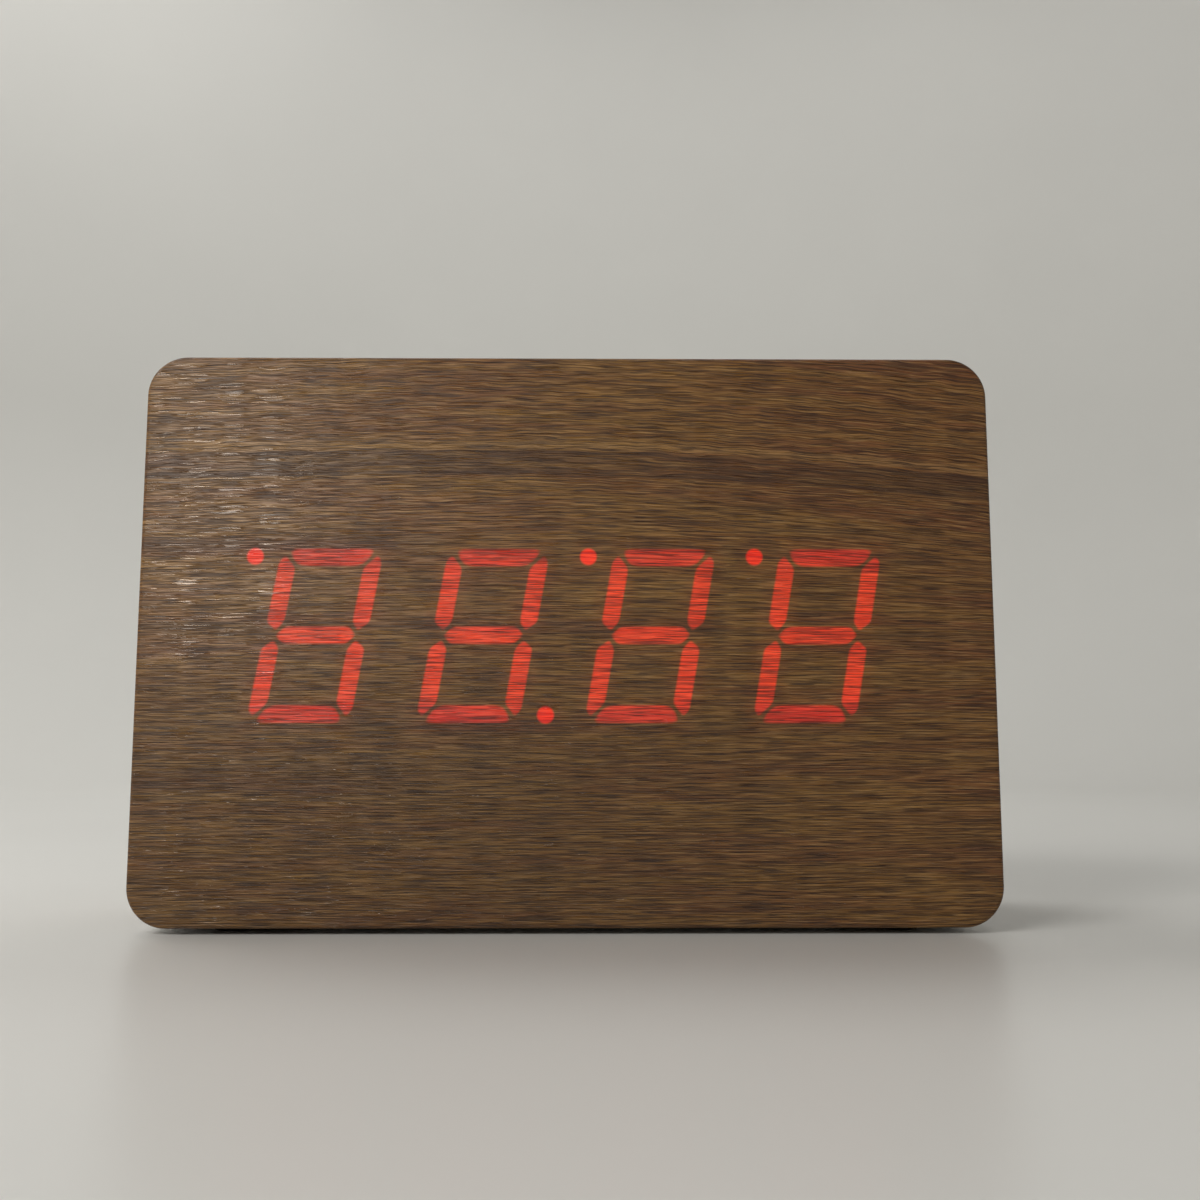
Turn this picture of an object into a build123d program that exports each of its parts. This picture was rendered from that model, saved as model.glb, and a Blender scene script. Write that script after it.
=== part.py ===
from build123d import *

import math
import os

# A digital desk clock: a block wrapped in wood-grain film, with red digits that glow through it.
# Millimetres. X runs along the face, +Y points to the back and +Z up.
# The origin is the centre of the footprint, on the surface that the feet stand on.
# Places named _x and _z are measured from the centre of the face, unless a comment says otherwise.

# Case
case_width = 150.0
case_height = 100.0
case_depth = 45.0
corner_radius = 7.0
edge_radius = 0.8
film_thickness = 0.4
wall_thickness = 8.0
inner_radius = 3.0
glue_ledge = 3.0
board_play = 0.15
foot_height = 1.0
foot_radius = 4.0
foot_round = 0.25
foot_from_side = 17.0
foot_from_face = 8.5

# Clearances and overruns shared by all pieces
cut_margin = 1.0
moving_gap = 0.3
pivot_gap = 0.08
lead_gap = 0.15

# Display: four single-digit modules in a row, slanted to the right
digit_count = 4
digit_row_x = -0.2
digit_row_z = 0.1
digit_row_from_side = 16.6
digit_height = 30.9
digit_slant = 10.0
turned_digits = (0, 2, 3)
segment_width = 3.4
segment_round = 0.3
upright_tip_drop = 1.6
upright_tip_inset = 0.6
upright_foot_rise = 0.9
upright_foot_inset = 1.8
upright_bevel_rise = 2.3
bar_long_inset = 1.9
bar_short_inset = 3.7
middle_tip_inset = 2.4
middle_flat_inset = 4.0
dot_radius = 1.65
dot_from_side = 2.95
dot_from_top = 1.6
module_gap = 1.5
module_side_wall = 4.55
module_height = 40.0
window_play = 0.4
window_radius = 1.0
carrier_rim = 1.2
carrier_thickness = 1.2
carrier_play = 0.1
lens_depth = 6.2
die_side = 0.5
die_height = 0.25
die_spread = 3.0
pin_side = 0.5
pin_pitch = 2.54
pins_per_row = 5
pin_row_z = 16.5
pin_tail = 1.0

# Display board
board_thickness = 1.6
board_radius = 1.5
display_board_side_gap = 5.6
display_board_rim = 7.0
display_screw_from_side = 9.0
display_screw_from_top = 3.0

# Rear panel
panel_recess = 1.2
flange_from_side = 6.6
flange_height = 60.0
flange_radius = 3.0
flange_thickness = 2.0
flange_side_lap = 9.0
flange_top_lap = 4.0
panel_play = 0.2
rim_thickness = 1.5
rim_depth = 5.0

# Battery cells, springs and contacts
cell_count = 4
cell_radius = 5.25
cell_length = 44.5
cell_edge = 0.5
nub_length = 1.0
nub_radius = 1.9
cell_pitch = 11.0
cell_seat_gap = 0.05
bay_side_play = 0.5
bay_end_play = 0.4
contact_thickness = 0.4
contact_side = 8.0
tab_height = 2.4
tab_reach = 3.0
tab_below_cell = 2.0
spring_length = 6.0
spring_radius = 3.0
spring_wire_radius = 0.3
spring_turn_count = 5
tub_wall = 2.5
tub_floor = 1.5
tub_corner = 1.2
lead_radius = 0.6
lead_bend = 1.6
lead_drop = 5.5

# Battery door
door_lap = 1.5
door_thickness = 1.8
door_corner = 1.2
recess_corner = 0.4
pivot_radius = 0.6
pivot_reach = 1.2
pivot_end_gap = 0.2
tongue_width = 14.0
tongue_length = 8.0
tongue_slot = 0.8
snap_width = 8.0
snap_height = 0.2
snap_thickness = 0.6
grip_rib_count = 3
grip_width = 10.0
grip_thickness = 0.8
grip_pitch = 1.8
grip_height = 0.3
scoop_width = 16.0
scoop_height = 3.0
scoop_depth = 1.2

# Main board, carried on bosses of the rear panel; control places are from its centre
main_board_width = 43.0
main_board_height = 46.0
main_board_gap = 1.0
main_board_depth = 7.3
boss_radius = 2.5
boss_inset = 2.8
boss_hole_spare = 0.5

# Buttons
button_count = 3
button_pitch = 13.0
button_up = 12.5
button_travel = 0.5
tact_side = 6.0
tact_height = 3.5
tact_floor = 0.8
tact_play = 0.1
plunger_radius = 1.75
plunger_rise = 5.0
cap_radius = 3.2
cap_flange_radius = 4.3
cap_flange_thickness = 1.0
cap_foot_radius = 2.4
cap_below_back = 0.3
cap_round = 0.5
cap_dish_radius = 2.2
cap_dish_depth = 0.25

# Slide switch
slide_side = -12.0
slide_down = 1.0
slide_length = 8.6
slide_width = 4.4
slide_height = 4.0
slide_floor = 1.4
slide_roof = 0.6
slide_travel = 2.0
knob_base_length = 3.2
knob_base_width = 2.6
knob_stem_length = 2.4
knob_stem_width = 2.0
knob_rise = 0.6
knob_round = 0.3

# Power socket
jack_side = -12.0
jack_down = 14.0
jack_square = 8.0
jack_height = 7.0
jack_nose_radius = 3.2
jack_nose_recess = 0.3
jack_bore_radius = 1.85
jack_bore_depth = 8.0
jack_pin_radius = 0.65
jack_pin_recess = 1.5

# Buzzer, microphone and thermistor
buzzer_side = 9.5
buzzer_down = 6.0
buzzer_radius = 6.0
buzzer_height = 6.5
buzzer_hole_radius = 1.0
grille_hole_radius = 0.7
grille_ring_radius = 2.6
grille_ring_count = 6
mic_side = -1.5
mic_up = 2.0
mic_radius = 3.0
mic_height = 2.6
mic_hole_radius = 0.75
mic_play = 0.05
boot_thickness = 0.95
boot_depth = 3.0
fine_lead_radius = 0.25
mic_lead_spread = 1.27
thermistor_side = -1.5
thermistor_down = 15.5
bead_radius = 1.2
bead_lead_spread = 0.65
bead_rise = 5.6
vent_count = 3
vent_width = 1.4
vent_length = 7.0
vent_pitch = 2.8

# Parts on the boards
header_length = 20.0
header_width = 5.0
header_height = 5.0
ribbon_side = -5.0
ribbon_width = 17.8
ribbon_thickness = 0.9
ribbon_bend = 2.8
ribbon_bend_limit_share = 0.9
main_header_z = -9.0
display_header_z = 9.0
chip_body_width = 7.5
chip_height = 2.3
chip_stand_off = 0.1
chip_pin_pitch = 1.27
chip_pin_width = 0.4
chip_pin_reach = 1.4
clock_chip_length = 18.0
clock_chip_pin_count = 14
clock_chip_side = -4.0
clock_chip_up = 8.0
driver_chip_length = 13.0
driver_chip_pin_count = 10
driver_chip_places = ((14.0, 0.0), (44.0, 0.0))
crystal_radius = 1.5
crystal_length = 8.0
crystal_side = 9.0
crystal_up = 12.0
capacitor_radius = 3.15
capacitor_height = 7.0
capacitor_side = 12.0
capacitor_pitch = 8.0
resistor_length = 2.0
resistor_width = 1.25
resistor_height = 0.5
resistor_pitch = 5.0
display_resistor_count = 8
display_resistor_x = 8.0
display_resistor_z = -9.0
main_resistor_count = 5
main_resistor_side = -12.0
main_resistor_up = 17.0

# Screws
screw_slot_width = 0.6
screw_slot_share = 0.7
screw_slot_depth_share = 0.6
panel_screw_radius = 1.4
panel_screw_head_radius = 2.8
panel_screw_head = 1.4
panel_screw_length = 6.5
panel_screw_from_side = 4.5
panel_screw_from_top = 8.0
panel_screw_gap = 0.2
display_screw_radius = 1.1
display_screw_head_radius = 2.2
display_screw_head = 1.6
display_screw_length = 7.5
display_screw_gap = 0.2
main_screw_radius = 1.0
main_screw_head_radius = 2.0
main_screw_head = 1.3
main_screw_length = 6.0
main_screw_gap = 0.2

# Depths, from the face to the back
face_z = foot_height + case_height / 2
front_y = -case_depth / 2
back_y = case_depth / 2
shell_front_y = front_y + film_thickness
shell_back_y = back_y - film_thickness
wall_back_y = shell_front_y + wall_thickness
display_back_y = wall_back_y + board_thickness
ledge_y = shell_back_y - wall_thickness
panel_face_y = back_y - panel_recess
flange_y = panel_face_y - flange_thickness
main_face_y = flange_y - main_board_depth
main_back_y = main_face_y - board_thickness

# Outlines that several pieces share
shell_width = case_width - 2 * film_thickness
shell_height = case_height - 2 * film_thickness
cavity_width = shell_width - 2 * wall_thickness
cavity_height = shell_height - 2 * wall_thickness
rebate_width = cavity_width + 2 * glue_ledge
rebate_height = cavity_height + 2 * glue_ledge
flange_width = rebate_width - 2 * flange_from_side
rim_width = flange_width - 2 * flange_side_lap
rim_height = flange_height - 2 * flange_top_lap

# The digit modules share the width of the face
digit_pitch = (case_width - 2 * digit_row_from_side) / digit_count
module_width = digit_pitch - module_gap
digit_width = module_width - 2 * module_side_wall
dot_out = module_width / 2 - dot_from_side
dot_down = digit_height / 2 - dot_from_top
display_board_width = cavity_width - 2 * display_board_side_gap
display_board_height = module_height + 2 * display_board_rim

# The battery bay ends flush with one side of the panel's rim
bay_length = cell_length + spring_length + 2 * contact_thickness + bay_end_play
bay_height = cell_count * cell_pitch + 2 * bay_side_play
tub_length = bay_length + 2 * tub_wall
tub_height = bay_height + 2 * tub_wall
bay_x = (rim_width - tub_length) / 2
door_width = bay_length + 2 * door_lap
door_height = bay_height + 2 * door_lap
pivot_y = panel_face_y - door_thickness / 2
pivot_z = door_thickness / 2 - door_height / 2
cell_y = panel_face_y - door_thickness - moving_gap - cell_radius
bay_floor_y = cell_y - cell_radius - cell_seat_gap
tub_y = bay_floor_y - tub_floor
bay_low_x = bay_x - bay_length / 2
bay_high_x = bay_x + bay_length / 2

# The main board lies beside the bay, near the other side of the rim
main_board_x = rim_thickness + main_board_gap + (main_board_width - rim_width) / 2
boss_x = main_board_width / 2 - boss_inset
boss_z = main_board_height / 2 - boss_inset
ribbon_x = main_board_x + ribbon_side
jack_x = main_board_x + jack_side
jack_z = -jack_down
slide_x = main_board_x + slide_side
slide_z = -slide_down
buzzer_x = main_board_x + buzzer_side
buzzer_z = -buzzer_down
mic_x = main_board_x + mic_side
mic_z = mic_up
thermistor_x = main_board_x + thermistor_side
thermistor_z = -thermistor_down


def upright(sketch, y0, y1):
    """Solid between depths y0 and y1, with its outline drawn in X and Z about the face's centre."""
    plane = Plane(origin=(0, y1, face_z), x_dir=(1, 0, 0), z_dir=(0, -1, 0))
    return extrude(plane * sketch, amount=y1 - y0, dir=(0, -1, 0))


def rounded(width, height, radius, x=0, z=0):
    """Outline of a rectangle with round corners."""
    return Pos(x, z) * RectangleRounded(width, height, radius)


def bar(width, height, y0, y1, x=0, z=0):
    """Square-edged block between two depths."""
    return upright(Pos(x, z) * Rectangle(width, height), y0, y1)


def rod(radius, y0, y1, x=0, z=0):
    """Round bar between two depths."""
    return upright(Pos(x, z) * Circle(radius), y0, y1)


def lathe(points, x=0, z=0):
    """Turned piece on an axis along Y; each point is a radius and a depth."""
    plane = Plane(origin=(x, 0, face_z + z))
    axis = Axis((x, 0, face_z + z), (0, 1, 0))
    return revolve(plane * make_face(Polyline(*points, close=True)), axis=axis)


def group(pieces):
    """Separate solids that share one node."""
    return Compound(children=[solid for piece in pieces for solid in piece.solids()])


def corners(half_x, half_z):
    """The four corners of a rectangle, as places from its centre."""
    return [(side * half_x, end * half_z) for side in (-1, 1) for end in (-1, 1)]


def ring_of_edges(solid, y):
    """The edges of a solid that lie at one depth."""
    return solid.edges().filter_by_position(Axis.Y, y, y)


def rounded_block(width, height, depth_from, depth_to, radius, edge):
    """Block with round corners and eased front and back edges."""
    block = upright(rounded(width, height, radius), depth_from, depth_to)
    block = fillet(ring_of_edges(block, depth_from), edge)
    return fillet(ring_of_edges(block, depth_to), edge)


def digit_x(number):
    """Centre of a digit along the face, counted from the left."""
    return digit_row_x + (number - (digit_count - 1) / 2) * digit_pitch


def digit_turn(number):
    """A module stands one way up or, turned by half, the other."""
    return -1 if number in turned_digits else 1


def slanted(points, number):
    """Segment outline leaned over with the digit and moved to its place."""
    lean = math.tan(math.radians(digit_slant))
    outline = [(x + z * lean, z) for x, z in points]
    face = make_face(Polyline(*outline, close=True))
    return Pos(digit_x(number), digit_row_z) * fillet(face.vertices(), segment_round)


def segment_outlines(number):
    """The seven segments and the dot of one digit, as separate outlines."""
    side = digit_width / 2
    top = digit_height / 2
    outlines = []
    for across in (-1, 1):
        for up in (-1, 1):
            points = [
                (side, upright_bevel_rise),
                (side, top - upright_tip_drop - upright_tip_inset),
                (side - upright_tip_inset, top - upright_tip_drop),
                (side - segment_width, top - segment_width),
                (side - segment_width, upright_bevel_rise),
                (side - upright_foot_inset, upright_foot_rise),
            ]
            outlines.append(slanted([(across * x, up * z) for x, z in points], number))
    for up in (-1, 1):
        points = [
            (side - bar_long_inset, top),
            (bar_long_inset - side, top),
            (bar_short_inset - side, top - segment_width),
            (side - bar_short_inset, top - segment_width),
        ]
        outlines.append(slanted([(x, up * z) for x, z in points], number))
    middle = [
        (side - middle_tip_inset, 0),
        (side - middle_flat_inset, segment_width / 2),
        (middle_flat_inset - side, segment_width / 2),
        (middle_tip_inset - side, 0),
        (middle_flat_inset - side, -segment_width / 2),
        (side - middle_flat_inset, -segment_width / 2),
    ]
    outlines.append(slanted(middle, number))
    turn = digit_turn(number)
    dot_place = Pos(digit_x(number) + turn * dot_out, digit_row_z - turn * dot_down)
    outlines.append(dot_place * Circle(dot_radius))
    return outlines


def pin_places(number):
    """The two rows of pins of one module."""
    places = []
    for row in (-pin_row_z, pin_row_z):
        for pin in range(pins_per_row):
            across = (pin - (pins_per_row - 1) / 2) * pin_pitch
            places.append((digit_x(number) + across, digit_row_z + row))
    return places


def display_screw_places():
    """Screws near the corners of the display board."""
    half_x = display_board_width / 2 - display_screw_from_side
    half_z = display_board_height / 2 - display_screw_from_top
    return corners(half_x, half_z)


def panel_screw_places():
    """Screws near the corners of the rear panel's flange."""
    half_x = flange_width / 2 - panel_screw_from_side
    half_z = flange_height / 2 - panel_screw_from_top
    return corners(half_x, half_z)


def boss_places():
    """Corners of the main board, where the rear panel's bosses carry it."""
    return [(main_board_x + x, z) for x, z in corners(boss_x, boss_z)]


def button_x(number):
    """Centre of a button, counted along the main board."""
    return main_board_x + (number - (button_count - 1) / 2) * button_pitch


def cell_z(number):
    """Height of a cell, counted from the lowest."""
    return (number - (cell_count - 1) / 2) * cell_pitch


def grille_places():
    """Sound holes over the buzzer: one in the middle and a ring round it."""
    places = [(buzzer_x, buzzer_z)]
    for hole in range(grille_ring_count):
        angle = 2 * math.pi * hole / grille_ring_count
        across = grille_ring_radius * math.cos(angle)
        places.append((buzzer_x + across, buzzer_z + grille_ring_radius * math.sin(angle)))
    return places


def vent_places():
    """Slots over the thermistor."""
    return [thermistor_x + (slot - (vent_count - 1) / 2) * vent_pitch for slot in range(vent_count)]


def fine_lead_places(x, z, spread):
    """Two thin leads, one each side of a centre."""
    return [(x - spread, z), (x + spread, z)]


def shell_block():
    """The outer form of the body under its film."""
    radius = corner_radius - film_thickness
    edge = edge_radius - film_thickness
    return rounded_block(shell_width, shell_height, shell_front_y, shell_back_y, radius, edge)


def grain_film():
    """Film over the face and sides, turned over the rear rim up to the rear board."""
    outer = rounded_block(case_width, case_height, front_y, back_y, corner_radius, edge_radius)
    opening = rounded(rebate_width, rebate_height, inner_radius)
    return outer - shell_block() - upright(opening, ledge_y, back_y + cut_margin)


def body_shell():
    """Fibreboard box with a window for the display and a rebate for the rear board."""
    cavity = rounded(cavity_width, cavity_height, inner_radius)
    rebate = rounded(rebate_width, rebate_height, inner_radius)
    window_width = (digit_count - 1) * digit_pitch + module_width + 2 * window_play
    window_height = module_height + 2 * window_play
    window = rounded(window_width, window_height, window_radius, digit_row_x, digit_row_z)
    shell = shell_block()
    shell -= upright(cavity, wall_back_y, ledge_y + cut_margin)
    shell -= upright(rebate, ledge_y, back_y)
    shell -= upright(window, front_y, wall_back_y + cut_margin)
    tip_y = display_back_y - display_screw_length
    for x, z in display_screw_places():
        shell -= rod(display_screw_radius, tip_y, wall_back_y + cut_margin, x, z)
    return shell


def rear_board():
    """Board glued into the rebate, with a stepped cut-out for the plastic panel."""
    board = upright(rear_outline(), ledge_y, shell_back_y)
    board -= upright(cutout_outline(), ledge_y - cut_margin, back_y)
    board -= upright(flange_pocket(), flange_y, back_y)
    tip_y = panel_face_y - panel_screw_length
    for x, z in panel_screw_places():
        board -= rod(panel_screw_radius, tip_y, flange_y + cut_margin, x, z)
    return board


def rear_outline():
    """Outline of the rear board, a little smaller than the rebate that holds it."""
    return rounded(rebate_width - 2 * board_play, rebate_height - 2 * board_play, inner_radius)


def cutout_outline():
    """Outline that clears the rim of the plastic panel."""
    return rounded(rim_width + 2 * panel_play, rim_height + 2 * panel_play, flange_radius)


def flange_pocket():
    """Outline that clears the flange of the plastic panel."""
    return rounded(flange_width + 2 * panel_play, flange_height + 2 * panel_play, flange_radius)


def rear_board_film():
    """Film on the rear board, cut away over the panel."""
    film = upright(rear_outline(), shell_back_y, back_y)
    return film - upright(flange_pocket(), shell_back_y - cut_margin, back_y + cut_margin)


def rubber_feet():
    """Four thin pads under the clock."""
    half_x = case_width / 2 - foot_from_side
    half_y = case_depth / 2 - foot_from_face
    feet = []
    for x, y in corners(half_x, half_y):
        foot = Pos(x, y, foot_height / 2) * Cylinder(foot_radius, foot_height)
        feet.append(fillet(foot.edges().group_by(Axis.Z)[0], foot_round))
    return group(feet)


def door_recess():
    """Shallow pocket in the panel that the battery door closes."""
    width = door_width + 2 * moving_gap
    height = door_height + 2 * moving_gap
    floor_y = panel_face_y - door_thickness - moving_gap
    return upright(rounded(width, height, recess_corner, bay_x), floor_y, back_y)


def pivot_bar(radius, reach):
    """Round bar along the lower edge of the door, reaching past both of its ends."""
    centre = Pos(bay_x, pivot_y, face_z + pivot_z)
    return centre * Rot(0, 90, 0) * Cylinder(radius, door_width + 2 * reach)


def tab_slots():
    """Slots in the wall of the bay for the two outer contact tabs."""
    slots = []
    for number in (0, cell_count - 1):
        depth = contact_thickness + 2 * lead_gap
        width = tub_wall + 2 * cut_margin
        x = bay_low_x - tub_wall / 2
        z = cell_z(number)
        y = cell_y - tab_below_cell - lead_gap
        slots.append(bar(width, tab_height + 2 * lead_gap, y, y + depth, x, z))
    return slots


def panel_shape():
    """The panel's flange, rim, battery tub, bosses and microphone boot, before its openings."""
    panel = upright(rounded(flange_width, flange_height, flange_radius), flange_y, panel_face_y)
    rim = upright(rounded(rim_width, rim_height, flange_radius), flange_y - rim_depth, flange_y)
    inner_width = rim_width - 2 * rim_thickness
    inner_height = rim_height - 2 * rim_thickness
    rim -= upright(rounded(inner_width, inner_height, inner_radius), flange_y - 2 * rim_depth, flange_y)
    panel += rim
    panel += upright(rounded(tub_length, tub_height, tub_corner, bay_x), tub_y, flange_y)
    for x, z in boss_places():
        panel += rod(boss_radius, main_face_y, flange_y, x, z)
    panel += rod(mic_radius + mic_play + boot_thickness, flange_y - boot_depth, flange_y, mic_x, mic_z)
    return panel


def panel_openings():
    """Everything that is cut from the rear panel."""
    cuts = [door_recess(), bar(bay_length, bay_height, bay_floor_y, back_y, bay_x)]
    cuts.append(pivot_bar(pivot_radius + pivot_gap, moving_gap + pivot_reach + pivot_end_gap))
    scoop_z = door_height / 2 + moving_gap
    scoop = rounded(scoop_width, 2 * scoop_height, scoop_depth, bay_x, scoop_z)
    cuts.append(upright(scoop, panel_face_y - scoop_depth, back_y))
    cuts += tab_slots()
    hole_tip_y = main_back_y + main_screw_length + boss_hole_spare
    for x, z in boss_places():
        cuts.append(rod(main_screw_radius, main_face_y - cut_margin, hole_tip_y, x, z))
    for number in range(button_count):
        radius = cap_radius + moving_gap
        cuts.append(rod(radius, flange_y - cut_margin, back_y, button_x(number), button_up))
    slot_length = knob_stem_length + slide_travel + 2 * moving_gap
    slot_width = knob_stem_width + 2 * moving_gap
    cuts.append(bar(slot_length, slot_width, flange_y - cut_margin, back_y, slide_x, slide_z))
    cuts.append(rod(jack_nose_radius + moving_gap, flange_y - cut_margin, back_y, jack_x, jack_z))
    for x, z in grille_places():
        cuts.append(rod(grille_hole_radius, flange_y - cut_margin, back_y, x, z))
    cuts.append(rod(mic_radius + mic_play, flange_y - boot_depth - cut_margin, flange_y, mic_x, mic_z))
    cuts.append(rod(mic_hole_radius, flange_y - cut_margin, back_y, mic_x, mic_z))
    for x in vent_places():
        slot = Pos(x, thermistor_z) * SlotOverall(vent_length, vent_width, rotation=90)
        cuts.append(upright(slot, flange_y - cut_margin, back_y))
    for x, z in panel_screw_places():
        cuts.append(countersink(x, z))
    return cuts


def countersink(x, z):
    """Clearance hole and cone for a panel screw."""
    hole = panel_screw_radius + panel_screw_gap
    points = [
        (0, flange_y - cut_margin),
        (hole, flange_y - cut_margin),
        (hole, panel_face_y - panel_screw_head),
        (panel_screw_head_radius, panel_face_y),
        (panel_screw_head_radius, back_y),
        (0, back_y),
    ]
    return lathe(points, x, z)


def rear_panel():
    """Black plastic panel that holds the cells, the main board and the controls."""
    panel = panel_shape()
    for opening in panel_openings():
        panel -= opening
    return panel


def cross_slot(radius, y0, y1, x, z):
    """Cross recess in a screw head."""
    reach = 2 * radius * screw_slot_share
    level = bar(reach, screw_slot_width, y0, y1, x, z)
    return level + bar(screw_slot_width, reach, y0, y1, x, z)


def panel_screws():
    """Countersunk screws that hold the panel to the rear board."""
    screws = []
    hole = panel_screw_radius + panel_screw_gap
    points = [
        (0, panel_face_y - panel_screw_length),
        (panel_screw_radius, panel_face_y - panel_screw_length),
        (panel_screw_radius, panel_face_y - panel_screw_head),
        (hole, panel_face_y - panel_screw_head),
        (panel_screw_head_radius, panel_face_y),
        (0, panel_face_y),
    ]
    slot_y = panel_face_y - panel_screw_head * screw_slot_depth_share
    for x, z in panel_screw_places():
        slot = cross_slot(panel_screw_radius, slot_y, back_y, x, z)
        screws.append(lathe(points, x, z) - slot)
    return group(screws)


def display_screws():
    """Screws that hold the display board to the back of the front wall."""
    screws = []
    head_y = display_back_y + display_screw_head
    slot_y = head_y - display_screw_head * screw_slot_depth_share
    for x, z in display_screw_places():
        screw = rod(display_screw_head_radius, display_back_y, head_y, x, z)
        screw += rod(display_screw_radius, display_back_y - display_screw_length, display_back_y, x, z)
        screws.append(screw - cross_slot(display_screw_head_radius, slot_y, head_y, x, z))
    return group(screws)


def main_screws():
    """Screws that hold the main board to the panel's bosses."""
    screws = []
    head_y = main_back_y - main_screw_head
    slot_y = head_y + main_screw_head * screw_slot_depth_share
    for x, z in boss_places():
        screw = rod(main_screw_head_radius, head_y, main_back_y, x, z)
        screw += rod(main_screw_radius, main_back_y, main_back_y + main_screw_length, x, z)
        screws.append(screw - cross_slot(main_screw_head_radius, head_y, slot_y, x, z))
    return group(screws)


def battery_door():
    """Door that turns on two pins at its lower edge, with a snap tongue at its top."""
    inner_y = panel_face_y - door_thickness
    top_z = door_height / 2
    height = top_z - pivot_z
    door = bar(door_width, height, inner_y, panel_face_y, bay_x, pivot_z + height / 2)
    tall_edges = door.edges().filter_by(Axis.Y).group_by(Axis.Z)[-1]
    door = fillet(tall_edges, door_corner)
    door += pivot_bar(door_thickness / 2, 0)
    door += pivot_bar(pivot_radius, moving_gap + pivot_reach)
    for side in (-1, 1):
        x = bay_x + side * (tongue_width + tongue_slot) / 2
        door -= bar(tongue_slot, 2 * tongue_length, inner_y - cut_margin, back_y, x, top_z)
    snap_from = pivot_y - snap_thickness / 2
    door += bar(snap_width, 2 * snap_height, snap_from, snap_from + snap_thickness, bay_x, top_z)
    for rib in range(grip_rib_count):
        z = top_z - (rib + 1) * grip_pitch
        door += bar(grip_width, grip_thickness, panel_face_y, panel_face_y + grip_height, bay_x, z)
    return door


def battery(number):
    """One AAA cell on its side, with every other cell turned end for end."""
    way = 1 if number % 2 else -1
    length = cell_length
    points = [
        (0, 0),
        (0, cell_radius - cell_edge),
        (cell_edge, cell_radius),
        (length - nub_length - cell_edge, cell_radius),
        (length - nub_length, cell_radius - cell_edge),
        (length - nub_length, nub_radius),
        (length, nub_radius),
        (length, 0),
    ]
    start_x = cell_back_x(number)
    plane = Plane(origin=(0, cell_y, face_z + cell_z(number)))
    outline = [(start_x + way * along, radius) for along, radius in points]
    axis = Axis((0, cell_y, face_z + cell_z(number)), (1, 0, 0))
    return revolve(plane * make_face(Polyline(*outline, close=True)), axis=axis)


def cell_back_x(number):
    """Flat end of a cell, which the spring presses on."""
    back = contact_thickness + spring_length
    return bay_low_x + back if number % 2 else bay_high_x - back


def battery_springs():
    """One coil spring behind the flat end of each cell."""
    springs = []
    coil_length = spring_length - 2 * spring_wire_radius
    path = Helix(coil_length / spring_turn_count, coil_length, spring_radius)
    start = Plane(origin=path @ 0, z_dir=path % 0)
    coil = sweep(start * Circle(spring_wire_radius), path=path, is_frenet=True)
    for number in range(cell_count):
        way = 1 if number % 2 else -1
        x = cell_back_x(number) - way * (spring_length - spring_wire_radius)
        place = Pos(x, cell_y, face_z + cell_z(number)) * Rot(0, way * 90, 0)
        springs.append(place * coil)
    return group(springs)


def contact_plate(first, last, high_side):
    """Flat plate at one end of the bay that spans the cells from first to last."""
    height = (last - first) * cell_pitch + contact_side
    z = (cell_z(first) + cell_z(last)) / 2
    x = bay_low_x + contact_thickness / 2
    if high_side:
        x = bay_high_x - contact_thickness / 2
    half = contact_side / 2
    return bar(contact_thickness, height, cell_y - half, cell_y + half, x, z)


def battery_contacts():
    """Plates that join the cells in a row, and the two tabs that lead out of the bay."""
    plates = []
    tab_y = cell_y - tab_below_cell
    tab_back_y = tab_y + contact_thickness
    tab_length = tub_wall + tab_reach
    tab_x = bay_low_x - tab_length / 2
    for number in (0, cell_count - 1):
        tab = bar(tab_length, tab_height, tab_y, tab_back_y, tab_x, cell_z(number))
        plates.append(contact_plate(number, number, False) + tab)
    for first in range(1, cell_count - 2, 2):
        plates.append(contact_plate(first, first + 1, False))
    for first in range(0, cell_count - 1, 2):
        plates.append(contact_plate(first, first + 1, True))
    return group(plates)


def battery_lead(number):
    """Lead from a contact tab, under the board's screw heads, to the back of the main board."""
    tab_x = bay_low_x - tub_wall - tab_reach + lead_radius
    tab_y = cell_y - tab_below_cell
    turn_y = main_back_y - lead_drop
    end_x = main_board_x + boss_x - main_screw_head_radius - lead_radius - lead_gap
    z = face_z + cell_z(number)
    points = [(tab_x, tab_y, z), (tab_x, turn_y, z), (end_x, turn_y, z), (end_x, main_back_y, z)]
    path = FilletPolyline(*points, radius=lead_bend)
    start = Plane(origin=points[0], z_dir=(0, -1, 0))
    return sweep(start * Circle(lead_radius), path=path)


def main_board():
    """Circuit board of the clock, with holes for its screws and leads."""
    outline = rounded(main_board_width, main_board_height, board_radius, main_board_x)
    board = upright(outline, main_back_y, main_face_y)
    low_y = main_back_y - cut_margin
    high_y = main_face_y + cut_margin
    for x, z in boss_places():
        board -= rod(main_screw_radius + main_screw_gap, low_y, high_y, x, z)
    board -= rod(jack_pin_radius + lead_gap, low_y, high_y, jack_x, jack_z)
    leads = fine_lead_places(mic_x, mic_z, mic_lead_spread)
    leads += fine_lead_places(thermistor_x, thermistor_z, bead_lead_spread)
    for x, z in leads:
        board -= rod(fine_lead_radius + lead_gap, low_y, high_y, x, z)
    return board


def display_board():
    """Circuit board behind the digits, with holes for their pins."""
    outline = rounded(display_board_width, display_board_height, board_radius)
    board = upright(outline, wall_back_y, display_back_y)
    low_y = wall_back_y - cut_margin
    high_y = display_back_y + cut_margin
    for x, z in display_screw_places():
        board -= rod(display_screw_radius + display_screw_gap, low_y, high_y, x, z)
    hole_radius = math.hypot(pin_side, pin_side) / 2 + lead_gap
    for number in range(digit_count):
        for x, z in pin_places(number):
            board -= rod(hole_radius, low_y, high_y, x, z)
    return board


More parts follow.
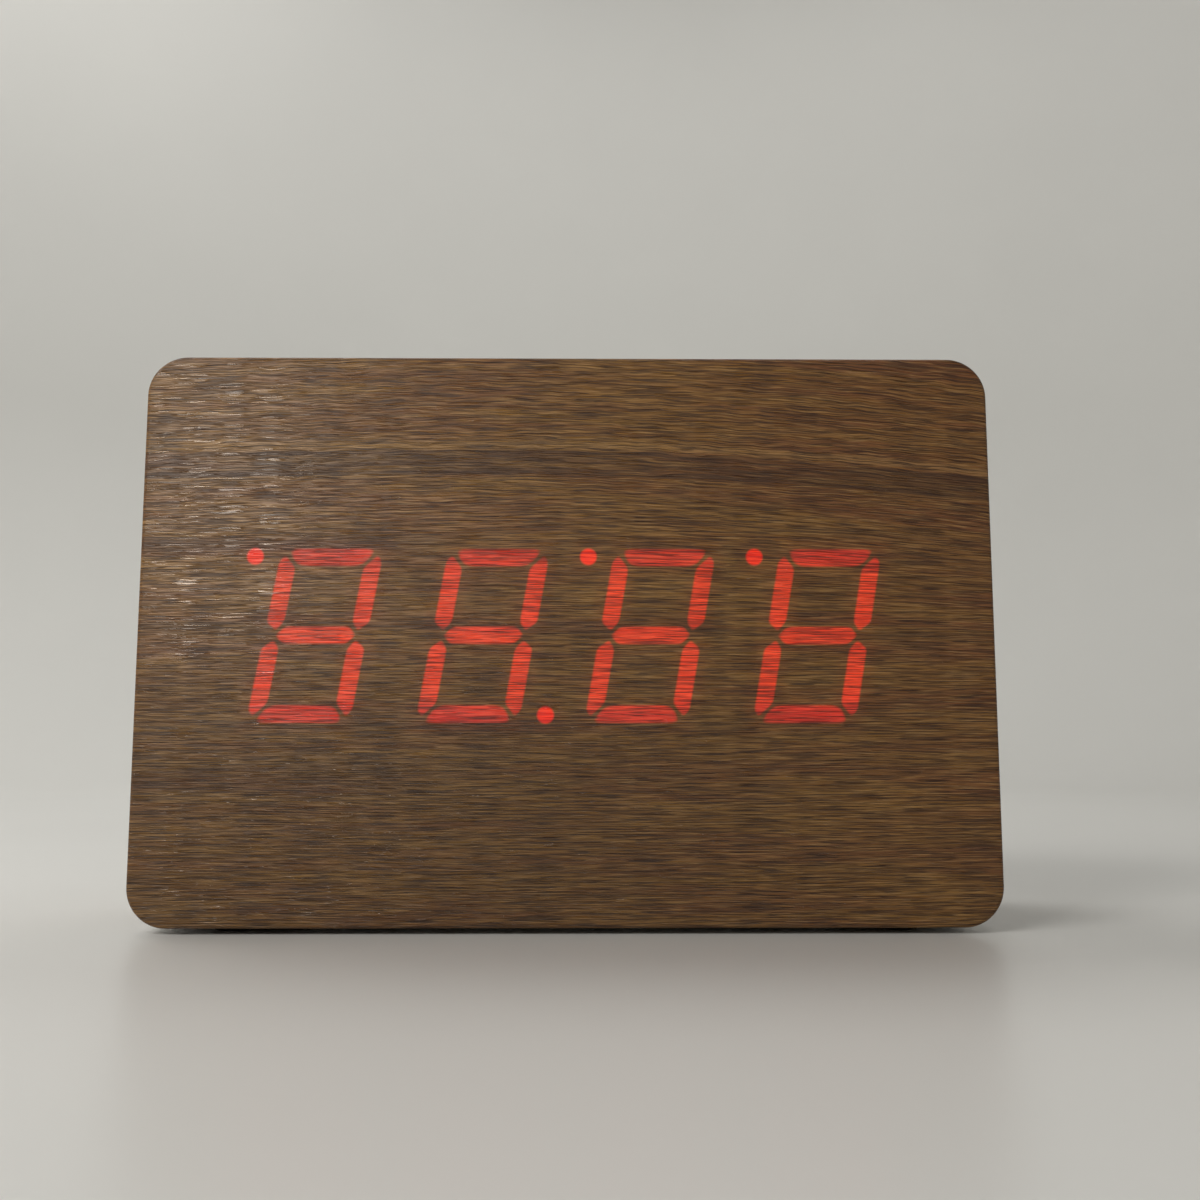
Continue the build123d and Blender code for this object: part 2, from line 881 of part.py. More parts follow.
def carrier_outline(number, play):
    """Outline of the chip carrier in the back of a module, smaller by the play."""
    width = module_width - 2 * carrier_rim - 2 * play
    height = module_height - 2 * carrier_rim - 2 * play
    return Pos(digit_x(number), digit_row_z) * Rectangle(width, height)


def digit_housing(number):
    """Plastic frame of one digit, open at the front where its segments are."""
    block = bar(module_width, module_height, shell_front_y, wall_back_y, digit_x(number), digit_row_z)
    pocket_y = wall_back_y - carrier_thickness
    block -= upright(carrier_outline(number, 0), pocket_y, wall_back_y + cut_margin)
    for outline in segment_outlines(number):
        block -= upright(outline, shell_front_y - cut_margin, wall_back_y)
    return block


def digit_lenses(number):
    """Clear red castings that fill the segments and the dot."""
    lenses = []
    for outline in segment_outlines(number):
        lenses.append(upright(outline, shell_front_y, shell_front_y + lens_depth))
    return group(lenses)


def digit_carrier(number):
    """Thin board in the back of a module with the light-giving chips on it."""
    front = wall_back_y - carrier_thickness
    pieces = [upright(carrier_outline(number, carrier_play), front, wall_back_y)]
    steps = 4 * [(0, die_spread)] + 3 * [(die_spread, 0)] + [(0, 0)]
    for outline, (step_x, step_z) in zip(segment_outlines(number), steps):
        centre = outline.center()
        for way in (-1, 1) if step_x or step_z else (1,):
            x = centre.X + way * step_x
            z = centre.Y + way * step_z
            pieces.append(bar(die_side, die_side, front - die_height, front, x, z))
    return group(pieces)


def digit_pins():
    """Pins of all the modules, through the display board."""
    pins = []
    for number in range(digit_count):
        for x, z in pin_places(number):
            pins.append(bar(pin_side, pin_side, wall_back_y, display_back_y + pin_tail, x, z))
    return group(pins)


def tact_switch(number):
    """Body of a push switch, with a well for its plunger."""
    x = button_x(number)
    body = bar(tact_side, tact_side, main_face_y, main_face_y + tact_height, x, button_up)
    well_y = main_face_y + tact_floor
    return body - rod(plunger_radius + moving_gap, well_y, flange_y, x, button_up)


def switch_plunger(number):
    """Round plunger of a push switch."""
    low_y = main_face_y + tact_floor + button_travel + tact_play
    return rod(plunger_radius, low_y, main_face_y + plunger_rise, button_x(number), button_up)


def button_cap(number):
    """Button with a dished top, kept in the panel by its flange."""
    flange_top = flange_y - moving_gap
    flange_low = flange_top - cap_flange_thickness
    top_y = back_y - cap_below_back
    points = [
        (0, main_face_y + plunger_rise),
        (cap_foot_radius, main_face_y + plunger_rise),
        (cap_foot_radius, flange_low),
        (cap_flange_radius, flange_low),
        (cap_flange_radius, flange_top),
        (cap_radius, flange_top),
        (cap_radius, top_y - cap_round),
        (cap_radius - cap_round, top_y),
        (cap_dish_radius, top_y),
        (0, top_y - cap_dish_depth),
    ]
    return lathe(points, button_x(number), button_up)


def slide_switch():
    """Hollow body of the slide switch."""
    top_y = main_face_y + slide_height
    body = bar(slide_length, slide_width, main_face_y, top_y, slide_x, slide_z)
    room = knob_base_length + slide_travel + 2 * moving_gap
    width = knob_base_width + 2 * moving_gap
    roof_y = top_y - slide_roof
    body -= bar(room, width, main_face_y + slide_floor - moving_gap, roof_y, slide_x, slide_z)
    slot = knob_stem_length + slide_travel + 2 * moving_gap
    slot_width = knob_stem_width + 2 * moving_gap
    return body - bar(slot, slot_width, roof_y - cut_margin, top_y + cut_margin, slide_x, slide_z)


def switch_knob():
    """Knob of the slide switch, which stands at one end of its slot."""
    x = slide_x - slide_travel / 2
    base_top = main_face_y + slide_height - slide_roof - moving_gap
    top_y = panel_face_y + knob_rise
    knob = bar(knob_base_length, knob_base_width, main_face_y + slide_floor, base_top, x, slide_z)
    stem = bar(knob_stem_length, knob_stem_width, base_top, top_y, x, slide_z)
    return knob + fillet(ring_of_edges(stem, top_y), knob_round)


def power_socket():
    """Round power socket with a square foot, its nose in the panel's hole."""
    foot_y = main_face_y + jack_height
    nose_y = panel_face_y - jack_nose_recess
    socket = bar(jack_square, jack_square, main_face_y, foot_y, jack_x, jack_z)
    socket += rod(jack_nose_radius, foot_y, nose_y, jack_x, jack_z)
    socket -= rod(jack_bore_radius, nose_y - jack_bore_depth, back_y, jack_x, jack_z)
    return socket - rod(jack_pin_radius, main_face_y - cut_margin, back_y, jack_x, jack_z)


def socket_pin():
    """Centre pin of the power socket, soldered through the main board."""
    tip_y = panel_face_y - jack_nose_recess - jack_pin_recess
    return rod(jack_pin_radius, main_back_y - pin_tail, tip_y, jack_x, jack_z)


def buzzer():
    """Round buzzer with a sound hole in its top."""
    top_y = main_face_y + buzzer_height
    body = rod(buzzer_radius, main_face_y, top_y, buzzer_x, buzzer_z)
    return body - rod(buzzer_hole_radius, top_y - cut_margin, back_y, buzzer_x, buzzer_z)


def microphone():
    """Microphone capsule in its boot, with two leads to the main board."""
    top_y = flange_y - mic_play
    low_y = top_y - mic_height
    capsule = rod(mic_radius, low_y, top_y, mic_x, mic_z)
    for x, z in fine_lead_places(mic_x, mic_z, mic_lead_spread):
        capsule += rod(fine_lead_radius, main_back_y - pin_tail, low_y, x, z)
    return capsule


def thermistor():
    """Temperature bead held by two leads behind the vent slots."""
    bead_y = main_face_y + bead_rise
    bead = Pos(thermistor_x, bead_y, face_z + thermistor_z) * Sphere(bead_radius)
    for x, z in fine_lead_places(thermistor_x, thermistor_z, bead_lead_spread):
        bead += rod(fine_lead_radius, main_back_y - pin_tail, bead_y, x, z)
    return bead


def chip(x, z, seat_y, way, length, pins):
    """Flat chip with two rows of pins; way is +1 where it stands on a face that looks back."""
    low = seat_y + way * chip_stand_off
    high = seat_y + way * chip_height
    body = bar(length, chip_body_width, min(low, high), max(low, high), x, z)
    pieces = [body]
    foot = seat_y + way * (chip_height / 2)
    reach = chip_body_width / 2 + chip_pin_reach / 2
    for pin in range(pins):
        across = x + (pin - (pins - 1) / 2) * chip_pin_pitch
        for side in (-1, 1):
            leg = bar(chip_pin_width, chip_pin_reach, min(seat_y, foot), max(seat_y, foot),
                      across, z + side * reach)
            pieces.append(leg)
    return pieces


def clock_chip():
    """The clock's controller, on the inner face of the main board."""
    x = main_board_x + clock_chip_side
    return group(chip(x, clock_chip_up, main_back_y, -1, clock_chip_length, clock_chip_pin_count))


def driver_chips():
    """The two chips that drive the digits, on the back of the display board."""
    pieces = []
    for x, z in driver_chip_places:
        pieces += chip(x, z, display_back_y, 1, driver_chip_length, driver_chip_pin_count)
    return group(pieces)


def crystal():
    """Crystal can lying on the main board."""
    place = Pos(main_board_x + crystal_side, main_back_y - crystal_radius, face_z + crystal_up)
    return place * Cylinder(crystal_radius, crystal_length)


def capacitors():
    """Two round capacitors that stand on the inner face of the main board."""
    x = main_board_x + capacitor_side
    low_y = main_back_y - capacitor_height
    heights = (-capacitor_pitch / 2, capacitor_pitch / 2)
    return group([rod(capacitor_radius, low_y, main_back_y, x, z) for z in heights])


def chip_resistors():
    """Rows of small resistors on both boards."""
    pieces = []
    for number in range(display_resistor_count):
        x = display_resistor_x + number * resistor_pitch
        top_y = display_back_y + resistor_height
        pieces.append(bar(resistor_length, resistor_width, display_back_y, top_y, x, display_resistor_z))
    for number in range(main_resistor_count):
        x = main_board_x + main_resistor_side + number * resistor_pitch
        low_y = main_back_y - resistor_height
        pieces.append(bar(resistor_length, resistor_width, low_y, main_back_y, x, main_resistor_up))
    return group(pieces)


def ribbon_cable():
    """Flat cable that steps down from the display board to the main board."""
    from_y = main_back_y - header_height
    to_y = display_back_y + header_height
    middle_y = (from_y + to_y) / 2
    low_z = face_z + main_header_z
    high_z = face_z + display_header_z
    points = [(from_y, low_z), (middle_y, low_z), (middle_y, high_z), (to_y, high_z)]
    bend = min(ribbon_bend, ribbon_bend_limit_share * (from_y - middle_y))
    path = FilletPolyline(*[(ribbon_x, y, z) for y, z in points], radius=bend)
    start = Plane(origin=(ribbon_x, from_y, low_z), x_dir=(1, 0, 0), z_dir=(0, -1, 0))
    return sweep(start * Rectangle(ribbon_width, ribbon_thickness), path=path)


def main_header():
    """Cable header on the main board."""
    low_y = main_back_y - header_height
    return bar(header_length, header_width, low_y, main_back_y, ribbon_x, main_header_z)


def display_header():
    """Cable header on the display board."""
    top_y = display_back_y + header_height
    return bar(header_length, header_width, display_back_y, top_y, ribbon_x, display_header_z)


def all_nodes():
    """Every piece of the clock by its name."""
    nodes = {
        "grain_film": grain_film(),
        "body_shell": body_shell(),
        "rear_board": rear_board(),
        "rear_board_film": rear_board_film(),
        "rubber_feet": rubber_feet(),
        "rear_panel": rear_panel(),
        "panel_screws": panel_screws(),
        "battery_door": battery_door(),
        "battery_springs": battery_springs(),
        "battery_contacts": battery_contacts(),
        "battery_lead_low": battery_lead(0),
        "battery_lead_high": battery_lead(cell_count - 1),
        "main_board": main_board(),
        "main_board_screws": main_screws(),
        "display_board": display_board(),
        "display_board_screws": display_screws(),
        "digit_pins": digit_pins(),
        "slide_switch": slide_switch(),
        "switch_knob": switch_knob(),
        "power_socket": power_socket(),
        "socket_pin": socket_pin(),
        "buzzer": buzzer(),
        "microphone": microphone(),
        "thermistor": thermistor(),
        "clock_chip": clock_chip(),
        "driver_chips": driver_chips(),
        "crystal": crystal(),
        "capacitors": capacitors(),
        "chip_resistors": chip_resistors(),
        "ribbon_cable": ribbon_cable(),
        "main_header": main_header(),
        "display_header": display_header(),
    }
    for number in range(cell_count):
        nodes[f"battery_{number + 1}"] = battery(number)
    for number in range(digit_count):
        nodes[f"digit_housing_{number + 1}"] = digit_housing(number)
        nodes[f"digit_lenses_{number + 1}"] = digit_lenses(number)
        nodes[f"digit_carrier_{number + 1}"] = digit_carrier(number)
    for number in range(button_count):
        nodes[f"tact_switch_{number + 1}"] = tact_switch(number)
        nodes[f"switch_plunger_{number + 1}"] = switch_plunger(number)
        nodes[f"button_cap_{number + 1}"] = button_cap(number)
    return nodes


os.makedirs("parts", exist_ok=True)
for name, shape in all_nodes().items():
    export_step(shape, os.path.join("parts", name + ".step"))
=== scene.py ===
import logging
import math
from collections.abc import Sequence
from dataclasses import dataclass
from enum import Enum
from functools import cache, partialmethod, reduce

import bmesh
import bpy
from mathutils import Color, Matrix, Vector


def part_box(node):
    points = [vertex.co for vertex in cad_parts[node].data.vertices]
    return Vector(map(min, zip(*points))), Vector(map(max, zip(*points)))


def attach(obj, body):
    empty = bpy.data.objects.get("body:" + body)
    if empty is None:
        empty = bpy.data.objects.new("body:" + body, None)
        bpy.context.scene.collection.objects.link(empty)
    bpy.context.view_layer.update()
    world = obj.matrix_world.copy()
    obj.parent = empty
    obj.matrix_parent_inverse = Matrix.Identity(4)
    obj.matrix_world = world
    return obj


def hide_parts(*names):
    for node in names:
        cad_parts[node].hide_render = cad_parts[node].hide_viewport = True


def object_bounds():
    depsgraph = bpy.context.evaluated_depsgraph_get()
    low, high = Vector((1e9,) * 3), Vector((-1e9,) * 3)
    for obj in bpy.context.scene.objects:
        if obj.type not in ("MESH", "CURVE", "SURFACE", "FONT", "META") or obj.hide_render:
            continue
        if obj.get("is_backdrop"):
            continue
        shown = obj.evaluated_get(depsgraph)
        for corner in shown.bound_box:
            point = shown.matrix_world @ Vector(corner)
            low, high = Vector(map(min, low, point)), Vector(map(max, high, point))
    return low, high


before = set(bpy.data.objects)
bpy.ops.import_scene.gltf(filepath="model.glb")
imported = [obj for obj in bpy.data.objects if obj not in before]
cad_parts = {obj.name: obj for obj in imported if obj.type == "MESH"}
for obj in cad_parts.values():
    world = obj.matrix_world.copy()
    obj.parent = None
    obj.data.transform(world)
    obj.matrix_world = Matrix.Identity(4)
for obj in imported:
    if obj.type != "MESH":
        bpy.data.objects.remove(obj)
CAD_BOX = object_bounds()

# The looks of a desk clock whose digits glow through wood-grain film.
# Metres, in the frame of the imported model: the face looks along -Y and the feet stand on Z = 0.
# The finishes are measured in millimetres.

MM = 0.001
TOUCH = 0.001 * MM
CASE = "case"
CLOCK_MIDDLE = (0.0, 0.0, 0.05)
FILM_PLACE = "film_place"
LOG = logging.getLogger("desk_clock")

Colour = tuple[float, float, float, float]
Point = tuple[float, float, float]
Span = tuple[float, float]


def screen(red: float, green: float, blue: float) -> Colour:
    """Linear colour of a shade that is given in screen steps, 0 to 255."""
    return (*Color((red / 255, green / 255, blue / 255)).from_srgb_to_scene_linear(), 1.0)


def grey(value: float) -> Colour:
    """Linear grey of one value."""
    return (value, value, value, 1.0)


class Field:
    """A value that changes over a surface. Arithmetic on it adds Math nodes to its sheet."""

    def __init__(self, sheet: "Sheet", socket: bpy.types.NodeSocket) -> None:
        """Wraps an output socket of a sheet's tree."""
        self.sheet, self.socket = sheet, socket

    def _math(self, operation: str, *others: "Field | float") -> "Field":
        """Result of a Math node whose first value is this field."""
        return self.sheet.value("Math", dict(enumerate((self, *others))), operation=operation)

    __add__ = partialmethod(_math, "ADD")
    __sub__ = partialmethod(_math, "SUBTRACT")
    __mul__ = partialmethod(_math, "MULTIPLY")
    __truediv__ = partialmethod(_math, "DIVIDE")
    __abs__ = partialmethod(_math, "ABSOLUTE")
    # A plain number less the field
    __rsub__ = partialmethod(_math, "MULTIPLY_ADD", -1.0)
    lesser = partialmethod(_math, "MINIMUM")
    greater = partialmethod(_math, "MAXIMUM")
    # Takes another field, and the reach over which the corner between the two is rounded
    rounded_greater = partialmethod(_math, "SMOOTH_MAX")
    # The whole number below the value
    whole = partialmethod(_math, "FLOOR")

    def off_middle(self) -> "Field":
        """Distance from the middle between two whole numbers."""
        return abs(self - self.whole() - 0.5)

    def between(self, low: float, high: float) -> "Field":
        """Low where the value is 0 and high where it is 1."""
        return self * (high - low) + low

    def fade(self, low: float, high: float) -> "Field":
        """Eases from 0 to 1.

        Args:
            low: Where it is 0, which may be the greater of the two.
            high: Where it is 1.

        Returns:
            The eased field.
        """
        ends = {"Value": self, "From Min": min(low, high), "From Max": max(low, high)}
        rising = self.sheet.value("MapRange", ends, "Result", interpolation_type="SMOOTHSTEP")
        return rising if high > low else 1.0 - rising


@dataclass(frozen=True)
class Noise:
    """A layer of noise.

    It has the size of one feature along each coordinate, the octaves of finer noise and their
    strength, a shift so that two layers don't match, and the values between which it fades in.
    """

    sizes: tuple[float, ...]
    detail: float = 2.0
    roughness: float = 0.5
    shift: float = 0.0
    cut: Span | None = None


class Sheet:
    """A shader tree that is written as formulas: noise, blends and bumps over a surface."""

    def __init__(self, tree: bpy.types.NodeTree) -> None:
        """Takes the tree to add nodes to."""
        self.tree = tree

    def fill(self, node: bpy.types.Node, inputs: dict[int | str, object]) -> None:
        """Gives a node its inputs.

        Args:
            node: The node.
            inputs: A field or a plain value for each input, by its name or number.
        """
        for key, value in inputs.items():
            if isinstance(value, Field):
                self.tree.links.new(value.socket, node.inputs[key])
            else:
                node.inputs[key].default_value = value

    def node(self, kind: str, inputs: dict[int | str, object], **settings: object) -> bpy.types.Node:
        """Adds a shader node.

        Args:
            kind: Its type, without the word ShaderNode.
            inputs: What its inputs get.
            settings: Its properties.

        Returns:
            The node.
        """
        made = self.tree.nodes.new("ShaderNode" + kind)
        for name, value in settings.items():
            setattr(made, name, value)
        self.fill(made, inputs)
        return made

    def value(
        self, kind: str, inputs: dict[int | str, object], output: int | str = 0, **settings: object
    ) -> Field:
        """One output of a new shader node."""
        return Field(self, self.node(kind, inputs, **settings).outputs[output])

    def vector(self, *coordinates: Field) -> Field:
        """Two or three fields as one vector."""
        return self.value("CombineXYZ", dict(enumerate(coordinates)))

    def scaled(self, value: Field | Sequence[float], factor: Field | float) -> Field:
        """A place or a colour times a factor."""
        value = value if isinstance(value, Field) else value[:3]
        return self.value("VectorMath", {0: value, "Scale": factor}, operation="SCALE")

    def place(self, source: Field) -> tuple[Field, Field, Field]:
        """The three coordinates, in millimetres, of a place in metres."""
        parts = self.node("SeparateXYZ", {0: self.scaled(source, 1 / MM)})
        return tuple(Field(self, socket) for socket in parts.outputs)

    def object_place(self) -> tuple[Field, Field, Field]:
        """Object coordinates in millimetres."""
        return self.place(self.value("TexCoord", {}, "Object"))

    def away(self, x: Field, y: Field, centre: Span) -> Field:
        """Distance of a flat place from a centre."""
        inputs = {0: self.vector(x, y), 1: (*centre, 0.0)}
        return self.value("VectorMath", inputs, "Value", operation="DISTANCE")

    def noise(self, place: Sequence[Field], layer: Noise) -> Field:
        """Adds a layer of noise.

        Args:
            place: Two or three coordinates in millimetres.
            layer: The noise.

        Returns:
            A field around 0.5, or from 0 to 1 where the layer has a cut.
        """
        scaled = [value / size for value, size in zip(place, layer.sizes)]
        scaled[0] = scaled[0] + layer.shift
        inputs = {"Vector": self.vector(*scaled), "Scale": 1.0}
        inputs |= {"Detail": layer.detail, "Roughness": layer.roughness}
        made = self.value("TexNoise", inputs, noise_dimensions=f"{len(place)}D")
        return made.fade(*layer.cut) if layer.cut else made

    def blend(self, share: Field, first: Field | Colour, second: Field | Colour) -> Field:
        """A colour between two: the first where share is 0, the second where it is 1."""
        return self.value("Mix", {0: share, 6: first, 7: second}, 2, data_type="RGBA")

    def bump(self, height: Field) -> Field:
        """Normal of a surface with heights in millimetres."""
        return self.value("Bump", {"Strength": 1.0, "Distance": MM, "Height": height})

    def group(self, kind: "Shared", **inputs: Field | float) -> dict[str, Field]:
        """Places a shared effect with its inputs, and gives its outputs by name."""
        made = self.node("Group", inputs, node_tree=shared_group(kind))
        return {socket.name: Field(self, socket) for socket in made.outputs}


class Shared(Enum):
    """Effects that finishes share, each one node group."""

    GRIT = "moulded_grit"
    HANDLING = "handling_marks"
    STREAKS = "wood_streaks"


class Effect(Sheet):
    """The sheet of a new node group, whose first input is Place in metres."""

    def __init__(self, kind: Shared, numbers: dict[str, float], outputs: Sequence[str]) -> None:
        """Starts the group.

        Args:
            kind: Which shared effect it is.
            numbers: Names and starting values of its other inputs.
            outputs: Names of the values that it puts out.
        """
        super().__init__(bpy.data.node_groups.new(kind.value, "ShaderNodeTree"))
        new_socket = self.tree.interface.new_socket
        new_socket("Place", in_out="INPUT", socket_type="NodeSocketVector")
        for name, value in numbers.items():
            new_socket(name, in_out="INPUT", socket_type="NodeSocketFloat").default_value = value
        for name in outputs:
            new_socket(name, in_out="OUTPUT", socket_type="NodeSocketFloat")
        inlet = self.tree.nodes.new("NodeGroupInput")
        self.given = {socket.name: Field(self, socket) for socket in inlet.outputs}

    def finished(self, **values: Field) -> bpy.types.NodeTree:
        """Feeds the group's outputs by name and gives the group."""
        self.fill(self.tree.nodes.new("NodeGroupOutput"), values)
        return self.tree


def moulded_grit() -> bpy.types.NodeTree:
    """Makes the spark-eroded texture of moulded plastic: fine pits in two sizes.

    Returns:
        The group. Its Height is in millimetres, and its Shade is a factor for the colour.
    """
    sheet = Effect(Shared.GRIT, {"Size": 0.35, "Depth": 0.01}, ("Height", "Shade"))
    place = [value / sheet.given["Size"] for value in sheet.place(sheet.given["Place"])]
    coarse = sheet.noise(place, Noise((1.0, 1.0, 1.0), roughness=0.6))
    fine = sheet.noise(place, Noise((0.4, 0.4, 0.4), detail=1.0, shift=7.0))
    return sheet.finished(
        Height=(coarse + fine * 0.5) * sheet.given["Depth"],
        Shade=coarse.fade(0.25, 0.75).between(0.875, 1.125),
    )


def handling_marks() -> bpy.types.NodeTree:
    """Makes slow changes in gloss from handling, with a few fine scuffs and specks.

    Returns:
        The group. Its Gloss is added to the roughness, and its Dust is a share.
    """
    sheet = Effect(Shared.HANDLING, {"Amount": 0.08}, ("Gloss", "Dust"))
    place, amount = sheet.place(sheet.given["Place"]), sheet.given["Amount"]
    slow = sheet.noise(place, Noise((14.0, 14.0, 14.0), detail=3.0, roughness=0.55, shift=3.0))
    scuff = sheet.noise(place, Noise((9.0, 0.5, 0.7), shift=12.0, cut=(0.66, 0.74)))
    specks = sheet.noise(place, Noise((0.22, 0.22, 0.22), detail=0.0, shift=21.0, cut=(0.74, 0.82)))
    return sheet.finished(
        Gloss=(slow.between(-1.0, 1.0) - scuff) * amount,
        Dust=specks * amount * 0.5,
    )


def wood_streaks() -> bpy.types.NodeTree:
    """Makes streaks that are drawn out along X.

    Returns:
        The group. Its Tone is slow, its Stroke thin and its Pore short, all around 0.5.
    """
    sheet = Effect(Shared.STREAKS, {"Length": 26.0, "Width": 1.5}, ("Tone", "Stroke", "Pore"))
    along, across, _ = sheet.place(sheet.given["Place"])
    place = (along / sheet.given["Length"], across / sheet.given["Width"])
    return sheet.finished(
        Tone=sheet.noise(place, Noise((1.0, 1.0), roughness=0.55)),
        Stroke=sheet.noise(place, Noise((0.34, 0.2), detail=1.0, shift=31.0)),
        Pore=sheet.noise(place, Noise((0.2, 0.11), detail=1.0, shift=57.0)),
    )


@cache
def shared_group(kind: Shared) -> bpy.types.NodeTree:
    """The node group of a shared effect, made once."""
    makers = {Shared.GRIT: moulded_grit, Shared.HANDLING: handling_marks, Shared.STREAKS: wood_streaks}
    return makers[kind]()


class Surface(Sheet):
    """The sheet of a new material, with its Principled BSDF."""

    def __init__(self, name: str) -> None:
        """Starts the material with an empty tree but for its shader.

        Args:
            name: The finish's name.
        """
        self.material = bpy.data.materials.new(name + "_finish")
        self.material.use_nodes = True
        super().__init__(self.material.node_tree)
        self.tree.nodes.clear()
        self.shader = self.node("BsdfPrincipled", {})
        self.node("OutputMaterial", {"Surface": Field(self, self.shader.outputs[0])})

    def finished(self, inputs: dict[str, object]) -> bpy.types.Material:
        """Gives the shader its inputs and gives the material."""
        self.fill(self.shader, inputs)
        return self.material


@dataclass(frozen=True)
class Moulded:
    """Moulded plastic, rubber or resin with a fine grit, given by its size and depth, and dust."""

    name: str
    colour: Colour
    roughness: float
    grit: Span
    handling: float
    specular: float = 0.5
    smoothest: float = 0.05
    dust: Colour = grey(0.4)

    def material(self) -> bpy.types.Material:
        """Builds the material.

        Returns:
            The material.
        """
        sheet = Surface(self.name)
        where = sheet.value("TexCoord", {}, "Object")
        size, depth = self.grit
        grit = sheet.group(Shared.GRIT, Place=where, Size=size, Depth=depth)
        marks = sheet.group(Shared.HANDLING, Place=where, Amount=self.handling)
        return sheet.finished({
            "Base Color": sheet.blend(marks["Dust"], sheet.scaled(self.colour, grit["Shade"]), self.dust),
            "Roughness": (marks["Gloss"] + self.roughness).greater(self.smoothest).lesser(1.0),
            "Specular IOR Level": self.specular,
            "Normal": sheet.bump(grit["Height"]),
        })


@dataclass(frozen=True)
class Metal:
    """Plated, drawn or blackened metal with fine drawing marks and a little tarnish."""

    name: str
    colour: Colour
    roughness: float
    marks: Noise = Noise((3.0, 0.12, 0.12), roughness=0.6)
    mark_depth: float = 0.004
    mark_gloss: float = 0.16
    tarnish: Noise = Noise((5.0, 5.0, 5.0), detail=3.0, roughness=0.6, shift=9.0)
    tarnish_cut: Span = (0.3, 0.75)
    tarnish_gloss: float = 0.2
    shade: Span = (0.8, 1.0)

    def material(self) -> bpy.types.Material:
        """Builds the material.

        Returns:
            The material.
        """
        sheet = Surface(self.name)
        place = sheet.object_place()
        marks, tarnish = sheet.noise(place, self.marks), sheet.noise(place, self.tarnish)
        clean = tarnish.fade(*self.tarnish_cut)
        return sheet.finished({
            "Base Color": sheet.scaled(self.colour, clean.between(*self.shade)),
            "Metallic": 1.0,
            "Roughness": marks * self.mark_gloss + (tarnish - 0.5) * self.tarnish_gloss + self.roughness,
            "Normal": sheet.bump(marks * self.mark_depth),
        })


@dataclass(frozen=True)
class CircuitBoard:
    """Green solder mask over a ground of copper tracks."""

    name: str = "solder_mask_green"
    mask: Colour = screen(24, 84, 50)
    track: Colour = screen(38, 112, 66)
    pitch: float = 2.54
    bends: Noise = Noise((11.0, 11.0), detail=0.0, shift=4.0, cut=(0.47, 0.53))
    bend_lanes: float = 1.5
    turns: Noise = Noise((17.0, 9.0), detail=0.0, shift=14.0, cut=(0.48, 0.52))
    track_width: float = 0.35
    track_core: float = 0.21
    track_height: float = 0.03
    weave: Noise = Noise((0.6, 0.6), detail=1.0, shift=2.0)
    weave_height: float = 0.004
    weave_gloss: float = 0.12
    shade: Span = (0.85, 1.15)
    roughness: float = 0.32

    def material(self) -> bpy.types.Material:
        """Builds the material.

        Returns:
            The material.
        """
        sheet = Surface(self.name)
        x, _, z = sheet.object_place()
        bend = sheet.noise((x, z), self.bends) * self.pitch * self.bend_lanes
        lane, row = (((way + bend) / self.pitch).off_middle() * self.pitch for way in (x, z))
        turn = sheet.noise((x, z), self.turns)
        tracks = (lane * turn + row * (1.0 - turn)).fade(self.track_width, self.track_core)
        weave = sheet.noise((x, z), self.weave)
        colour = sheet.blend(tracks, self.mask, self.track)
        return sheet.finished({
            "Base Color": sheet.scaled(colour, weave.between(*self.shade)),
            "Roughness": weave * self.weave_gloss + self.roughness,
            "Normal": sheet.bump(tracks * self.track_height + weave * self.weave_height),
        })


@dataclass(frozen=True)
class Fibreboard:
    """Pressed wood fibre: short pale and dark fibres without a grain."""

    name: str = "pressed_fibre"
    pale: Colour = screen(178, 142, 98)
    dark: Colour = screen(128, 96, 62)
    fibres: Noise = Noise((0.9, 0.3, 0.3), detail=3.0, roughness=0.65)
    crossed: Noise = Noise((0.3, 0.9, 0.8), detail=3.0, roughness=0.65, shift=5.0)
    cut: Span = (0.35, 0.65)
    gloss: float = 0.1
    height: float = 0.08
    roughness: float = 0.85

    def material(self) -> bpy.types.Material:
        """Builds the material.

        Returns:
            The material.
        """
        sheet = Surface(self.name)
        place = sheet.object_place()
        mixed = (sheet.noise(place, self.fibres) + sheet.noise(place, self.crossed)) * 0.5
        return sheet.finished({
            "Base Color": sheet.blend(mixed.fade(*self.cut), self.dark, self.pale),
            "Roughness": mixed * self.gloss + self.roughness,
            "Normal": sheet.bump(mixed * self.height),
        })


@dataclass(frozen=True)
class CastResin:
    """Clear red casting of a light segment, a little cloudy."""

    name: str = "cast_red_resin"
    colour: Colour = screen(206, 42, 34)
    cloud: Noise = Noise((1.6, 1.6, 1.6), detail=3.0, roughness=0.6)
    shade: Span = (0.7, 1.2)
    gloss: float = 0.15
    roughness: float = 0.18
    transmission: float = 0.35
    ior: float = 1.53

    def material(self) -> bpy.types.Material:
        """Builds the material.

        Returns:
            The material.
        """
        sheet = Surface(self.name)
        cloud = sheet.noise(sheet.object_place(), self.cloud)
        return sheet.finished({
            "Base Color": sheet.scaled(self.colour, cloud.between(*self.shade)),
            "Roughness": cloud * self.gloss + self.roughness,
            "Transmission Weight": self.transmission,
            "IOR": self.ior,
        })


